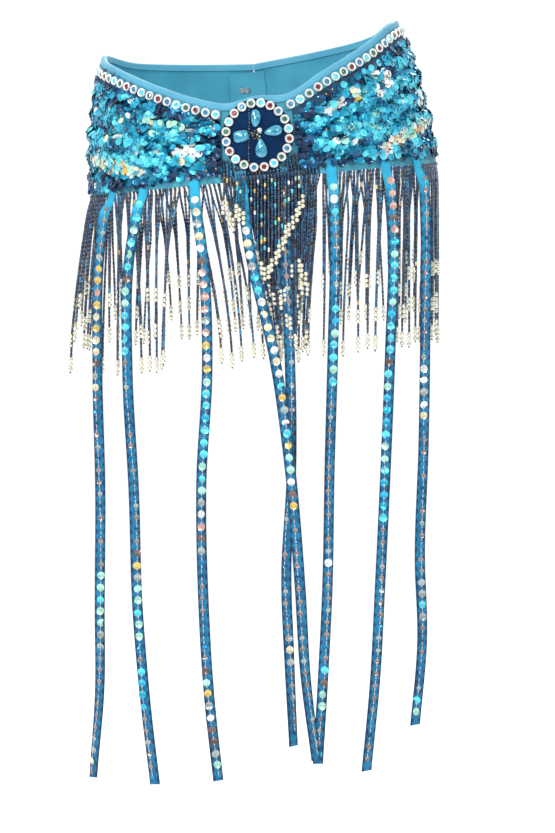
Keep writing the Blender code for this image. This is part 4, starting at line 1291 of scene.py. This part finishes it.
def make_fringe():
    """Long fringe in five lengths on its heading tape. The short one and the mass go with the middle."""
    dark = (INK, NAVY, PETROL, BROWN, BLACK, COPPER, GOLD, TEAL)
    weights = (8, 6, 6, 5, 4, 1.0, 0.5, 2.0)
    lengths = (
        ("back_left", -BACK_END, -QUARTER - SEAM, 0.0054, BACK_TIERS),
        ("front_left", -QUARTER + SEAM, -POINT_HALF - SEAM, 0.0043, TIERS),
        ("front_centre", -POINT_HALF + SEAM, CENTRE_FRINGE_END - SEAM, 0.0034, TIERS),
        ("front_right", CENTRE_FRINGE_END + SEAM, QUARTER - SEAM, 0.0035, TIERS),
        ("back_right", QUARTER + SEAM, BACK_END, 0.0054, BACK_TIERS),
    )
    rng = np.random.default_rng(11)
    for seed, (word, first, last, pitch, tiers) in enumerate(lengths, 60):
        look = POINT_LOOK if word == "front_centre" else HEADING_LOOK
        tape = strip(f"heading_{word}", first, last, 0.0, HEADING, FIRST, CLOTH, look, "bead_strands", rows=4)
        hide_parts(f"fringe_{word}")
        roots = spaced(first + BEAD_WIDTH / 2, last - BEAD_WIDTH / 2, pitch)
        long = np.asarray(tiers)[np.arange(len(roots)) % len(tiers)] + between(rng, -0.007, 0.002, len(roots))
        centre = word == "front_centre"
        start = beside_rim(roots) if centre else 0.0
        hung = hang_beads(word, strand_path, roots, long, dark, weights, seed, start)
        if centre:
            hung += make_mass(rng, seed + 20) + make_point()


# Ribbons
def facing(arc):
    """Angle by which a ribbon at an arc turns from the side of the hips towards the front."""
    angle = float(np.interp(arc, HEM_ARC, HEM_ANGLE))
    return RIBBON_FACING * math.atan2(math.sin(angle) / HEM_HALF_WIDTH, math.cos(angle) / HEM_HALF_DEPTH)


def swung(drop):
    """Share of the way that ribbons have swung out at a drop."""
    return soft_step((drop - RIBBON_FLAT) / (RIBBON_SWING - RIBBON_FLAT))


def ribbon_surface(ribbon, side=1.0):
    """Surface of a ribbon as a function of drop and of the distance across: its middle drifts along the hem,
    swings out over the fringe and turns a little about its own length on the way down."""
    top_out = ribbon.level + RIBBON_CLOTH / 2

    def flat(drop, wide):
        share = np.clip(drop / ribbon.length, 0.0, 1.0)
        arc = ribbon.arc + smooth(share, RIBBON_SHARES, (0.0,) + ribbon.drifts)
        swing = swung(drop)
        out = top_out + (ribbon.out - top_out) * swing
        below = np.clip((drop - FRINGE_DEPTH) / (ribbon.length - FRINGE_DEPTH), 0.0, 1.0)
        sway = np.radians(ribbon.turn) * np.sin(RIBBON_HALF_TURNS * math.pi * below)
        turn = facing(ribbon.arc) * swing + sway
        cord = 0.0003 * np.exp(-((np.abs(wide) - 0.0038) / 0.0009) ** 2)
        deep = side * (RIBBON_CLOTH / 2 + cord * (side > 0))
        return (
            arc + wide * np.cos(turn) - deep * np.sin(turn), -drop,
            out + wide * np.sin(turn) + deep * np.cos(turn),
        )
    return flat


def ribbon_foils(rng, number, drop):
    """Tints of a ribbon's sequins, and which of them lie in a bright stretch."""
    # Sequins in a bright stretch get painted-highlight foils in place of the dull ones.
    count = len(drop)
    tint = pick(rng, *RIBBON_FOILS["dull"], count)
    bright = np.zeros(count, bool)
    for stretch in STRETCHES:
        lit = (drop > stretch.start) & (drop < stretch.end) & (stretch.ribbon == number)
        tint = np.where(lit[:, None], pick(rng, *RIBBON_FOILS[stretch.foils], count), tint)
        bright = bright | lit
    return tint, bright


def trim_ribbon(number, ribbon):
    """Line of cupped sequins down a ribbon's middle, sewn on with pale thread between them."""
    rng = np.random.default_rng(200 + number)
    front = ribbon_surface(ribbon)
    surface = lambda drop, wide: place(*front(drop, wide))
    start = COVERED_START if ribbon.out == FRONT_RIBBON_OUT else TRIM_START
    drop = np.arange(start, ribbon.length - 0.004, TRIM_STEP)
    count = len(drop)
    drop = drop + between(rng, -0.0006, 0.0006, count)
    wide = 0.0014 * np.sin(drop * 17 + number) + between(rng, -0.0003, 0.0003, count)
    centre, axes = on_surface(surface, drop, wide)
    axes = axes * ((-1.0,), (-1.0,), (1.0,))
    axes = np.where((axes[:, 2] * np.cross(axes[:, 0], axes[:, 1])).sum(1)[:, None, None] > 0, axes, -axes)
    axes = turned(axes, np.radians(rng.normal(0, 9, count)), np.radians(rng.normal(0, 9, count)),
                  between(rng, 0.0, 6.28, count))
    radius = between(rng, 0.0037, 0.0042, count)
    tint, bright = ribbon_foils(rng, number, drop)
    radius = radius * np.where(bright, 1.0, DULL_SIZE)
    sequins = scatter(f"ribbon_sequins_{number}", SEQUIN_SHAPE, centre + axes[:, 2] * 0.0007, axes,
                      radius[:, None], tint, SEQUIN_LOOK, "ribbon_cloth", 30)
    stitch = np.sort(np.concatenate([drop[:-1] + 0.3 * TRIM_STEP, drop[:-1] + 0.7 * TRIM_STEP]))
    centre, axes = on_surface(surface, stitch, np.interp(stitch, drop, wide))
    axes = axes[:, [1, 2, 0]]
    threads = scatter(f"ribbon_thread_{number}", STITCH_SHAPE, centre + axes[:, 1] * 0.0011, axes,
                      (0.0005, 0.0004, 0.0019), hex_colour("CFC9C6"), THREAD_LOOK, "ribbon_cloth")
    return [sequins, threads]


def make_ribbon(number, ribbon):
    """Braid ribbon, shaded where it hangs behind the fringe, with its sequins."""
    drops = np.concatenate([np.linspace(-RIBBON_OVERLAP, RIBBON_SWING, 12)[:-1],
                            np.linspace(RIBBON_SWING, ribbon.length, 150)])
    look = BACK_RIBBON_LOOK if ribbon.out == BACK_RIBBON_OUT else RIBBON_LOOK
    braid = cloth(f"braid_{number}", drops, np.linspace(-1.0, 1.0, 13) * -RIBBON_WIDTH / 2,
                  ribbon_surface(ribbon, -1.0), ribbon_surface(ribbon), look, "ribbon_cloth",
                  cut=lambda drop, wide: (drop, wide))
    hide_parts(f"ribbon_{number}")
    trim_ribbon(number, ribbon)


make_camera()
make_studio()
make_band()
make_binding()
make_drape(-1, "left", "drape_left")
make_drape(1, "right", "drape_right")
make_medallion()
make_fringe()
for ribbon_number, one_ribbon in enumerate(RIBBONS, 1):
    make_ribbon(ribbon_number, one_ribbon)
